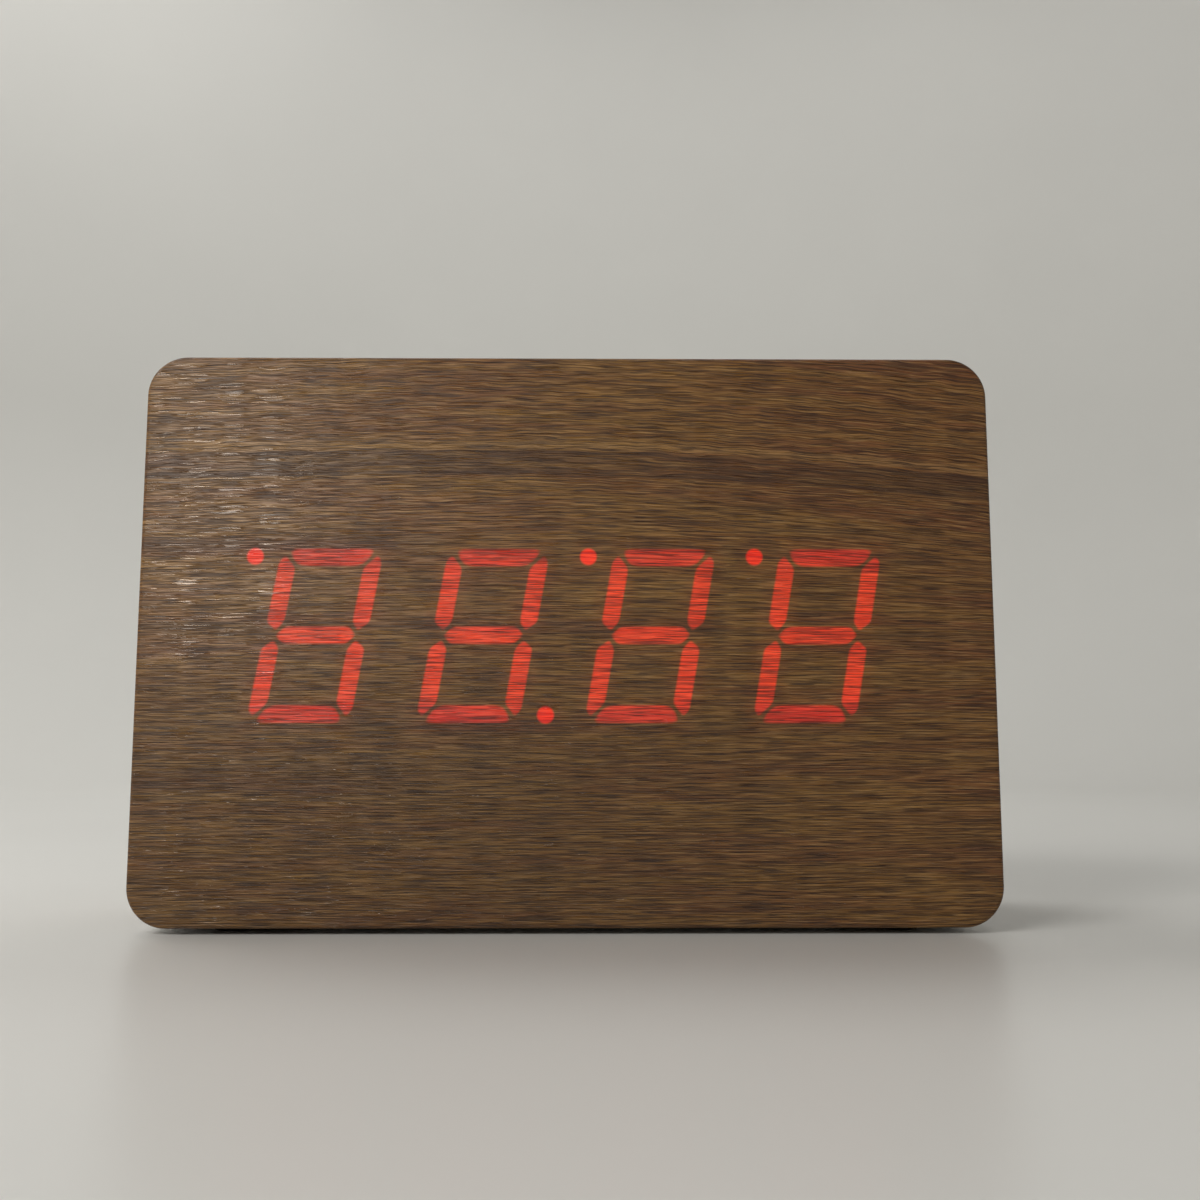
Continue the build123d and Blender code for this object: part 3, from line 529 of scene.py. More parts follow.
@dataclass(frozen=True)
class Ribbed:
    """Flat cable: round wires side by side, the first of them marked."""

    first_x: float
    name: str = "ribbon_insulation"
    colour: Colour = screen(150, 150, 152)
    mark: Colour = screen(150, 40, 36)
    mark_edge: Span = (1.0, 0.98)
    wire_pitch: float = 1.27
    wire_height: float = 0.5
    tone: Noise = Noise((4.0, 4.0, 4.0))
    shade: Span = (0.88, 1.08)
    gloss: float = 0.1
    roughness: float = 0.4

    def material(self) -> bpy.types.Material:
        """Builds the material.

        Returns:
            The material.
        """
        sheet = Surface(self.name)
        place = sheet.object_place()
        wire = (place[0] - self.first_x) / self.wire_pitch
        across = wire.off_middle()
        tone = sheet.noise(place, self.tone)
        marked = sheet.blend(wire.fade(*self.mark_edge), self.colour, self.mark)
        return sheet.finished({
            "Base Color": sheet.scaled(marked, tone.between(*self.shade)),
            "Roughness": tone * self.gloss + self.roughness,
            "Normal": sheet.bump((0.25 - across * across) * self.wire_height),
        })


@dataclass(frozen=True)
class DigitRow:
    """The row of digits behind the film, from the centre of the face."""

    count: int = 4
    centre_x: float = -0.05
    centre_z: float = 0.0
    pitch: float = 29.2
    width: float = 17.9
    height: float = 30.4
    slant: float = 10.0
    segment: float = 3.0
    tip_drop: float = 1.2
    tip_inset: float = 0.9
    shoulder_drop: float = 0.4
    foot_rise: float = 0.9
    foot_inset: float = 1.8
    bevel_rise: float = 2.3
    rounding: float = 0.9
    bar_long_inset: float = 1.3
    bar_short_inset: float = 3.1
    bar_rounding: float = 2.4
    middle_tip_inset: float = 2.05
    middle_flat_inset: float = 3.4
    dot_radius: float = 1.45
    dot_out: float = 10.9
    dot_up: float = 13.85
    turned: tuple[int, ...] = (0, 2, 3)

    def dots(self) -> list[Span]:
        """Finds the centres of the four dots.

        Returns:
            The place of each along the face and its height.
        """
        centres = []
        for number in range(self.count):
            x = self.centre_x + (number - (self.count - 1) / 2) * self.pitch
            sign = 1 if number in self.turned else -1
            centres.append((x - sign * self.dot_out, self.centre_z + sign * self.dot_up))
        return centres

    def distance(self, sheet: Sheet, x: Field, z: Field) -> tuple[Field, Field]:
        """Finds the distances from the lit shapes.

        Args:
            sheet: The sheet to add the formula to.
            x: Place along the face.
            z: Height from the centre of the face.

        Returns:
            Distance outside the nearest segment and outside the nearest dot; inside it is negative.
        """
        up = z - self.centre_z
        upright_x = x - up * math.tan(math.radians(self.slant)) - self.centre_x
        cell = (upright_x / self.pitch + self.count / 2).whole().greater(0.0).lesser(self.count - 1)
        across = abs(upright_x - (cell - (self.count - 1) / 2) * self.pitch)
        rise = abs(up)
        side, top = self.width / 2, self.height / 2
        inner = side - self.segment
        low = top - self.segment
        upright = [
            (side, self.bevel_rise),
            (side, top - self.tip_drop - self.tip_inset),
            (side - self.tip_inset, top - self.tip_drop),
            (inner, low - self.shoulder_drop),
            (inner, self.bevel_rise),
            (side - self.foot_inset, self.foot_rise),
        ]
        bar = [
            (-side, low),
            (side - self.bar_short_inset, low),
            (side - self.bar_long_inset, top),
            (-side, top),
        ]
        middle = [
            (side - self.middle_tip_inset, 0.0),
            (side - self.middle_flat_inset, self.segment / 2),
            (-side, self.segment / 2),
            (-side, -self.segment),
        ]
        segments = self._within(across, rise, upright, self.rounding)
        segments = segments.lesser(self._within(across, rise, bar, self.bar_rounding))
        segments = segments.lesser(self._within(across, rise, middle, self.rounding))
        dots = [sheet.away(x, z, dot) - self.dot_radius for dot in self.dots()]
        return segments, reduce(Field.lesser, dots)

    @staticmethod
    def _within(x: Field, z: Field, outline: Sequence[Span], rounding: float) -> Field:
        """Finds the distance outside a convex outline.

        Args:
            x: Place along the face.
            z: Height.
            outline: Its corners, against the clock.
            rounding: Reach over which they are rounded.

        Returns:
            The distance, which is negative inside.
        """
        sides = []
        for (x0, z0), (x1, z1) in zip(outline, [*outline[1:], outline[0]]):
            length = math.hypot(x1 - x0, z1 - z0)
            normal_x, normal_z = (z1 - z0) / length, (x0 - x1) / length
            sides.append(x * normal_x + z * normal_z - (x0 * normal_x + z0 * normal_z))
        return reduce(lambda worst, side: worst.rounded_greater(side, rounding), sides)


@dataclass(frozen=True)
class GrainFlow:
    """How the grain runs: bowed near the top, wandering, with ripples in the top part."""

    bow_peak: float = -9.0
    bow_rate: float = 0.0007
    bow_reach: float = 75.0
    bow_rise: Span = (-12.0, 26.0)
    left_bow: float = 0.55
    wander: Noise = Noise((80.0, 9.0), detail=1.0, shift=2.0)
    wander_height: float = 1.3
    line_wander: float = 0.35
    ripple: Noise = Noise((4.6, 2.8), detail=0.0, shift=8.0)
    ripple_rise: Span = (8.0, 32.0)
    ripple_height: Span = (0.07, 0.41)
    band_ripple: float = 0.5

    def heights(self, sheet: Sheet, x: Field, z: Field) -> tuple[Field, Field, Field]:
        """Finds the heights that places would have if the grain ran straight.

        Args:
            sheet: The sheet to add the formula to.
            x: Place along the face.
            z: Height from the centre of the face.

        Returns:
            The height for the streaks, for the bands and for the pale line.
        """
        from_peak = x.greater(-self.bow_reach).lesser(self.bow_reach) - self.bow_peak
        from_peak = from_peak.greater(from_peak * -self.left_bow)
        bowed = z + from_peak * from_peak * self.bow_rate * z.fade(*self.bow_rise)
        wander = (sheet.noise((x, z), self.wander) - 0.5) * self.wander_height
        ripple_height = z.fade(*self.ripple_rise).between(*self.ripple_height)
        ripple = (sheet.noise((x, bowed), self.ripple) - 0.5) * ripple_height
        line = bowed + wander * self.line_wander
        return bowed + wander + ripple, line + ripple * self.band_ripple, line


@dataclass(frozen=True)
class GrainBand:
    """A darker band of the grain: its height on the face, its reach and how dark it is."""

    height: float
    half_width: float
    strength: float
    from_x: float = -90.0
    to_x: float = 90.0
    soft: float = 0.7
    soft_end: float = 12.0

    def shade(self, x: Field, height: Field) -> Field:
        """Finds how much of the band there is at a place.

        Args:
            x: Place along the face.
            height: Height on the grain.

        Returns:
            Its share.
        """
        inside = abs(height - self.height).fade(self.half_width + self.soft, self.half_width)
        start = x.fade(self.from_x - self.soft_end, self.from_x + self.soft_end)
        end = x.fade(self.to_x + self.soft_end, self.to_x - self.soft_end)
        return inside * start * end * self.strength


@dataclass(frozen=True)
class Grain:
    """The grain at a place of the film: where it is, its tones and its marks."""

    x: Field
    z: Field
    height: Field
    line_height: Field
    tone: Field
    patch: Field
    dark: Field
    bands: Field


@dataclass(frozen=True)
class WoodFilm:
    """Printed and embossed wood-grain film, with the digits glowing through it."""

    name: str = "grain_film"
    flow: GrainFlow = GrainFlow()
    row: DigitRow = DigitRow()

    light_brown: Colour = screen(149, 109, 57)
    brown: Colour = screen(123, 85, 42)
    red_brown: Colour = screen(120, 73, 45)
    stroke_brown: Colour = screen(50, 28, 14)
    band_brown: Colour = screen(70, 46, 34)
    pale_brown: Colour = screen(178, 138, 86)
    lit_brown: Colour = screen(92, 34, 24)

    broad: Span = (60.0, 4.5)
    close: Span = (28.0, 1.25)
    tone_cut: Span = (0.28, 0.72)
    patch_cut: Span = (0.42, 0.66)
    patch_red: float = 0.5
    corner_rise: float = 0.6
    corner_reach: Span = (20.0, 95.0)
    corner_red: float = 0.3
    stroke_cut: Span = (0.515, 0.585)
    stroke_share: float = 0.66
    wide_cut: Span = (0.52, 0.68)
    wide_share: float = 0.1
    pore_cut: Span = (0.515, 0.6)
    pore_share: float = 0.52
    ink: float = 0.9
    pale: Noise = Noise((8.0, 0.26), detail=1.0, shift=71.0, cut=(0.52, 0.7))
    pale_line: float = 34.0
    pale_line_edge: Span = (1.1, 0.2)
    pale_share: float = 0.5
    # Painted shade: the print is darkened towards the bottom and the left of the face, over these reaches and
    # by this much.
    painted_shade_low_reach: Span = (16.0, -34.0)
    painted_shade_left_reach: Span = (70.0, -10.0)
    painted_shade_depth: float = 0.24
    bands: tuple[GrainBand, ...] = (
        GrainBand(30.8, 1.5, 0.62),
        GrainBand(32.6, 0.2, 0.85, soft=0.3),
        GrainBand(29.0, 0.25, 0.95, soft=0.35),
        GrainBand(20.5, 0.3, 0.35, from_x=10.0),
        GrainBand(16.6, 0.9, 0.55, to_x=-20.0),
        GrainBand(15.8, 0.8, 0.4, from_x=-10.0),
        GrainBand(1.8, 0.35, 0.5, to_x=10.0),
        GrainBand(0.8, 0.3, 0.45, from_x=-20.0),
        GrainBand(-16.0, 0.7, 0.4, from_x=-70.0, to_x=60.0),
        GrainBand(-24.5, 2.2, 0.3, to_x=-20.0, soft=2.0),
    )
    band_breaks: Noise = Noise((24.0, 1.0), shift=40.0, cut=(0.3, 0.62))
    band_broken: Span = (0.4, 1.0)
    band_share: float = 0.85

    glow: Colour = (1.0, 0.03, 0.012, 1.0)
    end_glow: Colour = (1.0, 0.008, 0.02, 1.0)
    dot_glow: Colour = (1.0, 0.002, 0.002, 1.0)
    glow_strength: float = 0.71
    soft_edge: float = 0.28
    end_reach: Span = (10.0, 14.5)
    end_loss: float = 0.3
    end_tint: float = 0.9
    halo_reach: float = 3.0
    halo_share: float = 0.03
    band_block: float = 0.3
    most_blocked: float = 0.85
    segment_light: Span = (0.66, 1.26)
    dot_light: Span = (0.52, 1.12)
    lit_share: float = 0.5

    polished: Noise = Noise((7.0, 0.2), detail=0.0, shift=111.0, cut=(0.58, 0.72))
    relief: float = 0.042
    mark_matt: float = 0.12
    polish: float = 0.27
    roughness: float = 0.4
    specular: float = 0.33

    def material(self) -> bpy.types.Material:
        """Builds the material: its marks are pressed in, and a few raised lines are polished.

        Returns:
            The material.
        """
        sheet = Surface(self.name)
        grain = self._grain(sheet)
        lit, glow = self._glow(sheet, grain)
        polished = sheet.noise((grain.x, grain.height), self.polished)
        sheet.material.cycles.emission_sampling = "NONE"
        return sheet.finished({
            "Base Color": sheet.blend(lit * self.lit_share, self._print(sheet, grain), self.lit_brown),
            "Emission Color": glow,
            "Emission Strength": self.glow_strength,
            "Normal": sheet.bump((polished - grain.dark) * self.relief),
            "Roughness": grain.dark * self.mark_matt - polished * self.polish + self.roughness,
            "Specular IOR Level": self.specular,
        })

    def _grain(self, sheet: Sheet) -> Grain:
        """Works out the grain.

        Args:
            sheet: The sheet to add the formula to.

        Returns:
            The grain.
        """
        x, z, _ = sheet.place(sheet.value("Attribute", {}, "Vector", attribute_name=FILM_PLACE))
        height, band_height, line_height = self.flow.heights(sheet, x, z)
        flat = sheet.vector(x * MM, height * MM)
        broad, close = (
            sheet.group(Shared.STREAKS, Place=flat, Length=length, Width=width)
            for length, width in (self.broad, self.close)
        )
        dark = close["Stroke"].fade(*self.stroke_cut) * self.stroke_share
        dark = dark + broad["Stroke"].fade(*self.wide_cut) * self.wide_share
        dark = dark + close["Pore"].fade(*self.pore_cut) * self.pore_share
        bands = reduce(Field.greater, [band.shade(x, band_height) for band in self.bands])
        bands = bands * sheet.noise((x, band_height), self.band_breaks).between(*self.band_broken)
        return Grain(x, z, height, line_height, close["Tone"], broad["Tone"], dark.lesser(1.0), bands)

    def _print(self, sheet: Sheet, grain: Grain) -> Field:
        """Mixes the printed colour, with painted shade towards the bottom and the left of the face.

        Args:
            sheet: The sheet to add the formula to.
            grain: The grain.

        Returns:
            The colour.
        """
        colour = sheet.blend(grain.tone.fade(*self.tone_cut), self.brown, self.light_brown)
        corner = (grain.x + grain.z * self.corner_rise).fade(*self.corner_reach)
        redness = grain.patch.fade(*self.patch_cut) * self.patch_red + corner * self.corner_red
        colour = sheet.blend(redness, colour, self.red_brown)
        pale_line = abs(grain.line_height - self.pale_line).fade(*self.pale_line_edge)
        pale = sheet.noise((grain.x, grain.height), self.pale).greater(pale_line)
        colour = sheet.blend(pale * self.pale_share, colour, self.pale_brown)
        colour = sheet.blend(grain.bands * self.band_share, colour, self.band_brown)
        colour = sheet.blend(grain.dark * self.ink, colour, self.stroke_brown)
        # Painted shade: darker towards the bottom and the left of the face.
        painted_shade = grain.z.fade(*self.painted_shade_low_reach) * grain.x.fade(*self.painted_shade_left_reach) * self.painted_shade_depth
        return sheet.scaled(colour, 1.0 - painted_shade)

    def _glow(self, sheet: Sheet, grain: Grain) -> tuple[Field, Field]:
        """Works out the digits' light through the print.

        Args:
            sheet: The sheet to add the formula to.
            grain: The grain.

        Returns:
            Where the film is lit, and the colour of the light.
        """
        segments, dots = self.row.distance(sheet, grain.x, grain.z)
        lit_segments, lit_dots = (shape.fade(self.soft_edge, -self.soft_edge) for shape in (segments, dots))
        halo = segments.lesser(dots).fade(self.halo_reach, 0.0) * self.halo_share
        end = abs(grain.z - self.row.centre_z).fade(*self.end_reach)
        clear = 1.0 - (grain.dark * self.ink + grain.bands * self.band_block).lesser(self.most_blocked)
        light = lit_segments * (1.0 - end * self.end_loss) * clear * grain.tone.between(*self.segment_light)
        light = light.greater(halo * clear).greater(lit_dots * clear.between(*self.dot_light))
        tint = sheet.blend(end * self.end_tint, self.glow, self.end_glow)
        tint = sheet.blend(lit_dots, tint, self.dot_glow)
        return lit_segments.greater(lit_dots), sheet.scaled(tint, light)


@dataclass(frozen=True)
class PaleGround:
    """Plain pale floor and backdrop, with a soft gloss in front of the clock."""

    name: str = "pale_ground"
    colour: Colour = (0.7, 0.695, 0.67, 1.0)
    roughness: float = 0.3
    far_roughness: float = 0.85
    gloss_centre: Span = (0.0, -120.0)
    gloss_edge: Span = (130.0, 280.0)
    cloud: Noise = Noise((160.0, 160.0, 160.0))
    cloud_gloss: float = 0.06
    shade: Span = (0.97, 1.03)

    def material(self) -> bpy.types.Material:
        """Builds the material.

        Returns:
            The material.
        """
        sheet = Surface(self.name)
        x, y, z = sheet.object_place()
        matt = sheet.away(x, y, self.gloss_centre).fade(*self.gloss_edge)
        cloud = sheet.noise((x, y, z), self.cloud)
        return sheet.finished({
            "Base Color": sheet.scaled(self.colour, cloud.between(*self.shade)),
            "Roughness": cloud * self.cloud_gloss + matt.between(self.roughness, self.far_roughness),
        })


class Finish(Enum):
    """Every finish of the clock. A moulded one has its roughness, its grit and its handling."""

    FILM = WoodFilm()
    FIBREBOARD = Fibreboard()
    RUBBER = Moulded("foot_rubber", grey(0.018), 0.8, (0.5, 0.012), 0.1, specular=0.3)
    PANEL = Moulded("spark_textured_black", grey(0.017), 0.5, (0.32, 0.02), 0.07, specular=0.45)
    DOOR = Moulded("door_black", grey(0.019), 0.47, (0.32, 0.02), 0.09, specular=0.45)
    GLOSS_BLACK = Moulded("gloss_black", grey(0.012), 0.22, (0.6, 0.002), 0.05)
    BUTTON = Moulded("button_black", grey(0.022), 0.34, (0.5, 0.004), 0.08)
    PRINT = Moulded("pad_print_white", grey(0.55), 0.5, (0.3, 0.004), 0.05)
    WHITE_HOUSING = Moulded("housing_white", grey(0.7), 0.45, (0.5, 0.006), 0.05)
    HEADER = Moulded("header_cream", screen(228, 222, 204), 0.4, (0.5, 0.004), 0.05)
    CHIP = Moulded("chip_resin", grey(0.02), 0.55, (0.25, 0.008), 0.04)
    CERAMIC = Moulded("chip_ceramic", grey(0.035), 0.4, (0.2, 0.004), 0.03)
    LEAD_RED = Moulded("lead_red", screen(170, 28, 24), 0.38, (0.6, 0.003), 0.05)
    LEAD_BLACK = Moulded("lead_black", grey(0.015), 0.38, (0.6, 0.003), 0.05)
    BEAD = Moulded("dipped_bead", screen(58, 40, 28), 0.2, (0.8, 0.004), 0.03)
    CAN_SLEEVE = Moulded("capacitor_sleeve", screen(22, 28, 62), 0.3, (0.8, 0.002), 0.04)
    SLEEVE = Moulded("cell_sleeve", screen(38, 74, 62), 0.28, (0.7, 0.002), 0.05)
    SLEEVE_BAND = Moulded("cell_sleeve_band", screen(196, 198, 196), 0.3, (0.7, 0.002), 0.05)
    SLEEVE_RING = Moulded("cell_top_ring", grey(0.5), 0.4, (0.6, 0.003), 0.04)
    BLACK_STEEL = Metal("black_oxide", grey(0.09), 0.42)
    BRIGHT_STEEL = Metal("zinc_plate", grey(0.62), 0.3)
    SPRING_STEEL = Metal("nickel_plate", grey(0.7), 0.22)
    BRASS = Metal("socket_brass", screen(214, 178, 96), 0.25)
    CAN = Metal("drawn_can", grey(0.66), 0.3)
    BOARD = CircuitBoard()
    RESIN = CastResin()
    RIBBON = Ribbed(first_x=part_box("ribbon_cable")[0].x / MM)
    GROUND = PaleGround()

    @cache
    def material(self) -> bpy.types.Material:
        """The finish's material, built once."""
        return self.value.material()


def dress(finish: Finish, *nodes: str) -> None:
    """Gives CAD nodes a finish and reports them.

    Args:
        finish: The finish.
        nodes: The nodes' names.
    """
    for name in nodes:
        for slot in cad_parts[name].material_slots:
            slot.material = finish.material()
        LOG.info("dressed %s in %s", name, finish.value.name)


def numbered(name: str, count: int) -> list[str]:
    """Names of a node's copies, numbered from 1."""
    return [f"{name}_{number}" for number in range(1, count + 1)]


def new_object(name: str, data: bpy.types.ID) -> bpy.types.Object:
    """Adds an object to the scene.

    Args:
        name: Its name.
        data: Its mesh, light or camera.

    Returns:
        The object.
    """
    made = bpy.data.objects.new(name, data)
    bpy.context.scene.collection.objects.link(made)
    return made


def smooth_mesh(name: str, form: bmesh.types.BMesh, finishes: Sequence[Finish]) -> bpy.types.Mesh:
    """Turns a finished form into a mesh.

    Args:
        name: The mesh's name.
        form: The form, which is freed.
        finishes: Its finishes, in the order of the faces' material numbers.

    Returns:
        The mesh, smooth all over.
    """
    mesh = bpy.data.meshes.new(name)
    form.to_mesh(mesh)
    form.free()
    for polygon in mesh.polygons:
        polygon.use_smooth = True
    for finish in finishes:
        mesh.materials.append(finish.material())
    return mesh


def new_piece(
    name: str,
    form: bmesh.types.BMesh,
    finishes: Sequence[Finish],
    replaces: str | None = None,
    smooth_angle: float = 35.0,
) -> None:
    """Makes a piece of a finished form and hangs it on the case.

    Args:
        name: The piece's name.
        form: Its mesh, in place, which is freed.
        finishes: Its finishes, in the order of the faces' material numbers.
        replaces: The CAD node that it stands for, if it does.
        smooth_angle: Edges sharper than this many degrees stay sharp.
    """
    mesh = smooth_mesh(name, form, finishes)
    if "custom_normal" in mesh.attributes:
        mesh.attributes.remove(mesh.attributes["custom_normal"])
    mesh.set_sharp_from_angle(angle=math.radians(smooth_angle))
    made = new_object(name, mesh)
    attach(made, CASE)
    if replaces:
        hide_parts(replaces)
    LOG.info("made %s with %d faces on %s", name, len(mesh.polygons), CASE)


def turned(profile: Sequence[Span], start: Point, direction: Point, steps: int) -> bmesh.types.BMesh:
    """Turns a profile round an axis.

    Args:
        profile: Distance along the axis and radius of each point.
        start: Where the axis starts.
        direction: Which way it runs, one of the coordinate axes.
        steps: Steps of the full turn.

    Returns:
        The form.
    """
    form = bmesh.new()
    axis, origin = Vector(direction), Vector(start)
    aside = Vector((1.0, 0.0, 0.0)) if axis.z else Vector((0.0, 0.0, 1.0))
    corners = [form.verts.new(origin + axis * along + aside * radius) for along, radius in profile]
    edges = [form.edges.new(pair) for pair in zip(corners, corners[1:])]
    bmesh.ops.spin(
        form, geom=corners + edges, cent=origin, axis=axis, angle=math.tau, steps=steps, use_merge=True
    )
    bmesh.ops.remove_doubles(form, verts=form.verts[:], dist=TOUCH)
    bmesh.ops.recalc_face_normals(form, faces=form.faces[:])
    return form


@dataclass
class Case:
    """The block: its film, the boards under it and its feet."""

    corner: float = 7.0 * MM
    edge: float = 0.8 * MM
    film: float = 0.4 * MM
    fold_corner: float = 3.0 * MM
    fold_play: float = 0.15 * MM
    corner_steps: int = 16
    edge_steps: int = 5
    ring_shares: tuple[float, ...] = (0.03, 0.07, 0.13, 0.2, 0.3, 0.42, 0.56, 0.72, 0.88)
    flat_play: float = 0.01 * MM
    gather: float = 5.0 * MM
    rear_shift: float = 300.0 * MM
    rim_angle: float = 60.0

    def __post_init__(self) -> None:
        """Reads the case's size from the frame."""
        self.low, self.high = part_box("grain_film")
        self.centre = (self.low + self.high) / 2
        self.half = (self.high - self.low) / 2
        board_low, board_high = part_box("rear_board")
        self.fold = self.half.x - self.edge - (board_high.x - board_low.x) / 2 - self.fold_play

    def build(self) -> None:
        """Builds the film and dresses the rest."""
        self.film_skin()
        self.rear_film()
        dress(Finish.FIBREBOARD, "body_shell", "rear_board")
        dress(Finish.RUBBER, "rubber_feet")

    def film_skin(self) -> None:
        """Makes one sheet over the face and sides, turned over the rear rim."""
        form = bmesh.new()
        bmesh.ops.create_cube(form, size=2.0)
        bmesh.ops.scale(form, vec=self.half, verts=form.verts[:])
        bmesh.ops.translate(form, vec=self.centre, verts=form.verts[:])
        along = [e for e in form.edges if abs(e.verts[0].co.y - e.verts[1].co.y) > self.half.y]
        self._bevel(form, along, self.corner, self.corner_steps)
        rims = [e for e in form.edges if abs(e.verts[0].co.y - e.verts[1].co.y) < TOUCH]
        self._bevel(form, rims, self.edge, self.edge_steps)
        self._open_back(form)
        for share in self.ring_shares:
            plane = (0.0, self.low.y + share * 2 * self.half.y, 0.0)
            everything = form.verts[:] + form.edges[:] + form.faces[:]
            bmesh.ops.bisect_plane(form, geom=everything, plane_co=plane, plane_no=(0.0, 1.0, 0.0))
        bmesh.ops.recalc_face_normals(form, faces=form.faces[:])
        bmesh.ops.solidify(form, geom=form.faces[:], thickness=self.film)
        layer = form.verts.layers.float_vector.new(FILM_PLACE)
        for vert in form.verts:
            vert[layer] = self._unrolled(vert.co)
        new_piece("wood_grain_film", form, [Finish.FILM], "grain_film", self.rim_angle)

    @staticmethod
    def _bevel(form: bmesh.types.BMesh, edges: Sequence, offset: float, segments: int) -> None:
        """Rounds edges.

        Args:
            form: The form that they are on.
            edges: The edges.
            offset: The radius.
            segments: Steps of the rounding.
        """
        bmesh.ops.bevel(
            form, geom=edges, offset=offset, segments=segments, profile=0.5, affect="EDGES", material=-1
        )

    def _open_back(self, form: bmesh.types.BMesh) -> None:
        """Cuts the opening in the back and rounds its corners as the boards are.

        Args:
            form: The film's form, still without thickness.
        """
        back = max(form.faces, key=lambda face: face.calc_center_median().y)
        bmesh.ops.inset_region(form, faces=[back], thickness=self.fold, use_even_offset=True)
        inset = self.edge + self.fold + self.fold_corner
        for vert in back.verts:
            place = vert.co - self.centre
            out_x = max(abs(place.x) - self.half.x + self.corner, 0.0)
            out_z = max(abs(place.z) - self.half.z + self.corner, 0.0)
            out = Vector((out_x, out_z)).normalized() * self.fold_corner
            vert.co.x = self.centre.x + math.copysign(self.half.x - inset + out.x, place.x)
            vert.co.z = self.centre.z + math.copysign(self.half.z - inset + out.y, place.z)
        bmesh.ops.delete(form, geom=[back], context="FACES_ONLY")

    def _unrolled(self, point: Vector) -> Vector:
        """Finds the place on the flat sheet of a point of the wrapped film.

        Args:
            point: A point of the film, in the frame.

        Returns:
            Its place on the sheet from the centre of the face, which is the face's own X and Z there.
        """
        place = point - self.centre
        depth = place.y + self.half.y
        inner_x, inner_z = self.half.x - self.corner, self.half.z - self.corner
        reach = Vector((abs(place.x) - inner_x, abs(place.z) - inner_z))
        if reach.x > 0 and reach.y > 0:
            normal = reach.normalized()
            out = reach.length - self.corner
        elif reach.x > reach.y:
            normal, out = Vector((1.0, 0.0)), reach.x - self.corner
        else:
            normal, out = Vector((0.0, 1.0)), reach.y - self.corner
        lap = out + self.edge
        if depth < self.flat_play and lap <= self.flat_play:
            return Vector((place.x, place.z, 0.0))
        quarter = self.edge * math.pi / 2
        whole = 2 * self.half.y
        if depth < self.edge:
            along = self.edge * math.atan2(max(lap, 0.0), self.edge - depth)
        elif depth < whole - self.edge:
            along = quarter + depth - self.edge
        else:
            past = self.edge * math.atan2(depth - whole + self.edge, max(lap, 0.0))
            along = quarter + whole - 2 * self.edge + past + max(-lap, 0.0)
        power = 1.0 + depth / self.gather
        bent = Vector((normal.x**power, normal.y**power)).normalized()
        foot = Vector((min(abs(place.x), inner_x), min(abs(place.z), inner_z)))
        flat = foot + normal * (self.corner - self.edge) + bent * along
        return Vector((math.copysign(flat.x, place.x), math.copysign(flat.y, place.z), 0.0))

    def rear_film(self) -> None:
        """Makes the separate piece of film on the rear board."""
        form = bmesh.new()
        form.from_mesh(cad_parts["rear_board_film"].data)
        bmesh.ops.remove_doubles(form, verts=form.verts[:], dist=TOUCH)
        layer = form.verts.layers.float_vector.new(FILM_PLACE)
        for vert in form.verts:
            place = vert.co - self.centre
            vert[layer] = Vector((-place.x, place.z - self.rear_shift, 0.0))
        new_piece("rear_grain_film", form, [Finish.FILM], "rear_board_film")


@dataclass
class Display:
    """The digit modules and their board, behind the film."""

    digits: int = 4

    def build(self) -> None:
        """Dresses the modules."""
        dress(Finish.WHITE_HOUSING, *numbered("digit_housing", self.digits))
        dress(Finish.RESIN, *numbered("digit_lenses", self.digits))
        dress(Finish.BOARD, *numbered("digit_carrier", self.digits), "display_board")
        dress(Finish.BRIGHT_STEEL, "digit_pins", "display_board_screws")


@dataclass
class Electronics:
    """The main board and what both boards carry."""

    switches: int = 3

    def build(self) -> None:
        """Dresses the boards' parts."""
        dress(Finish.RIBBON, "ribbon_cable")
        dress(Finish.BOARD, "main_board")
        dress(Finish.HEADER, "main_header", "display_header")
        dress(Finish.CHIP, "clock_chip", "driver_chips")
        dress(Finish.CERAMIC, "chip_resistors")
        dress(Finish.CAN, "crystal", "microphone")
        dress(Finish.CAN_SLEEVE, "capacitors")
        dress(Finish.BEAD, "thermistor")
        dress(Finish.BRIGHT_STEEL, "main_board_screws", "slide_switch")
        dress(Finish.GLOSS_BLACK, "buzzer", *numbered("tact_switch", self.switches))
        dress(Finish.GLOSS_BLACK, *numbered("switch_plunger", self.switches))


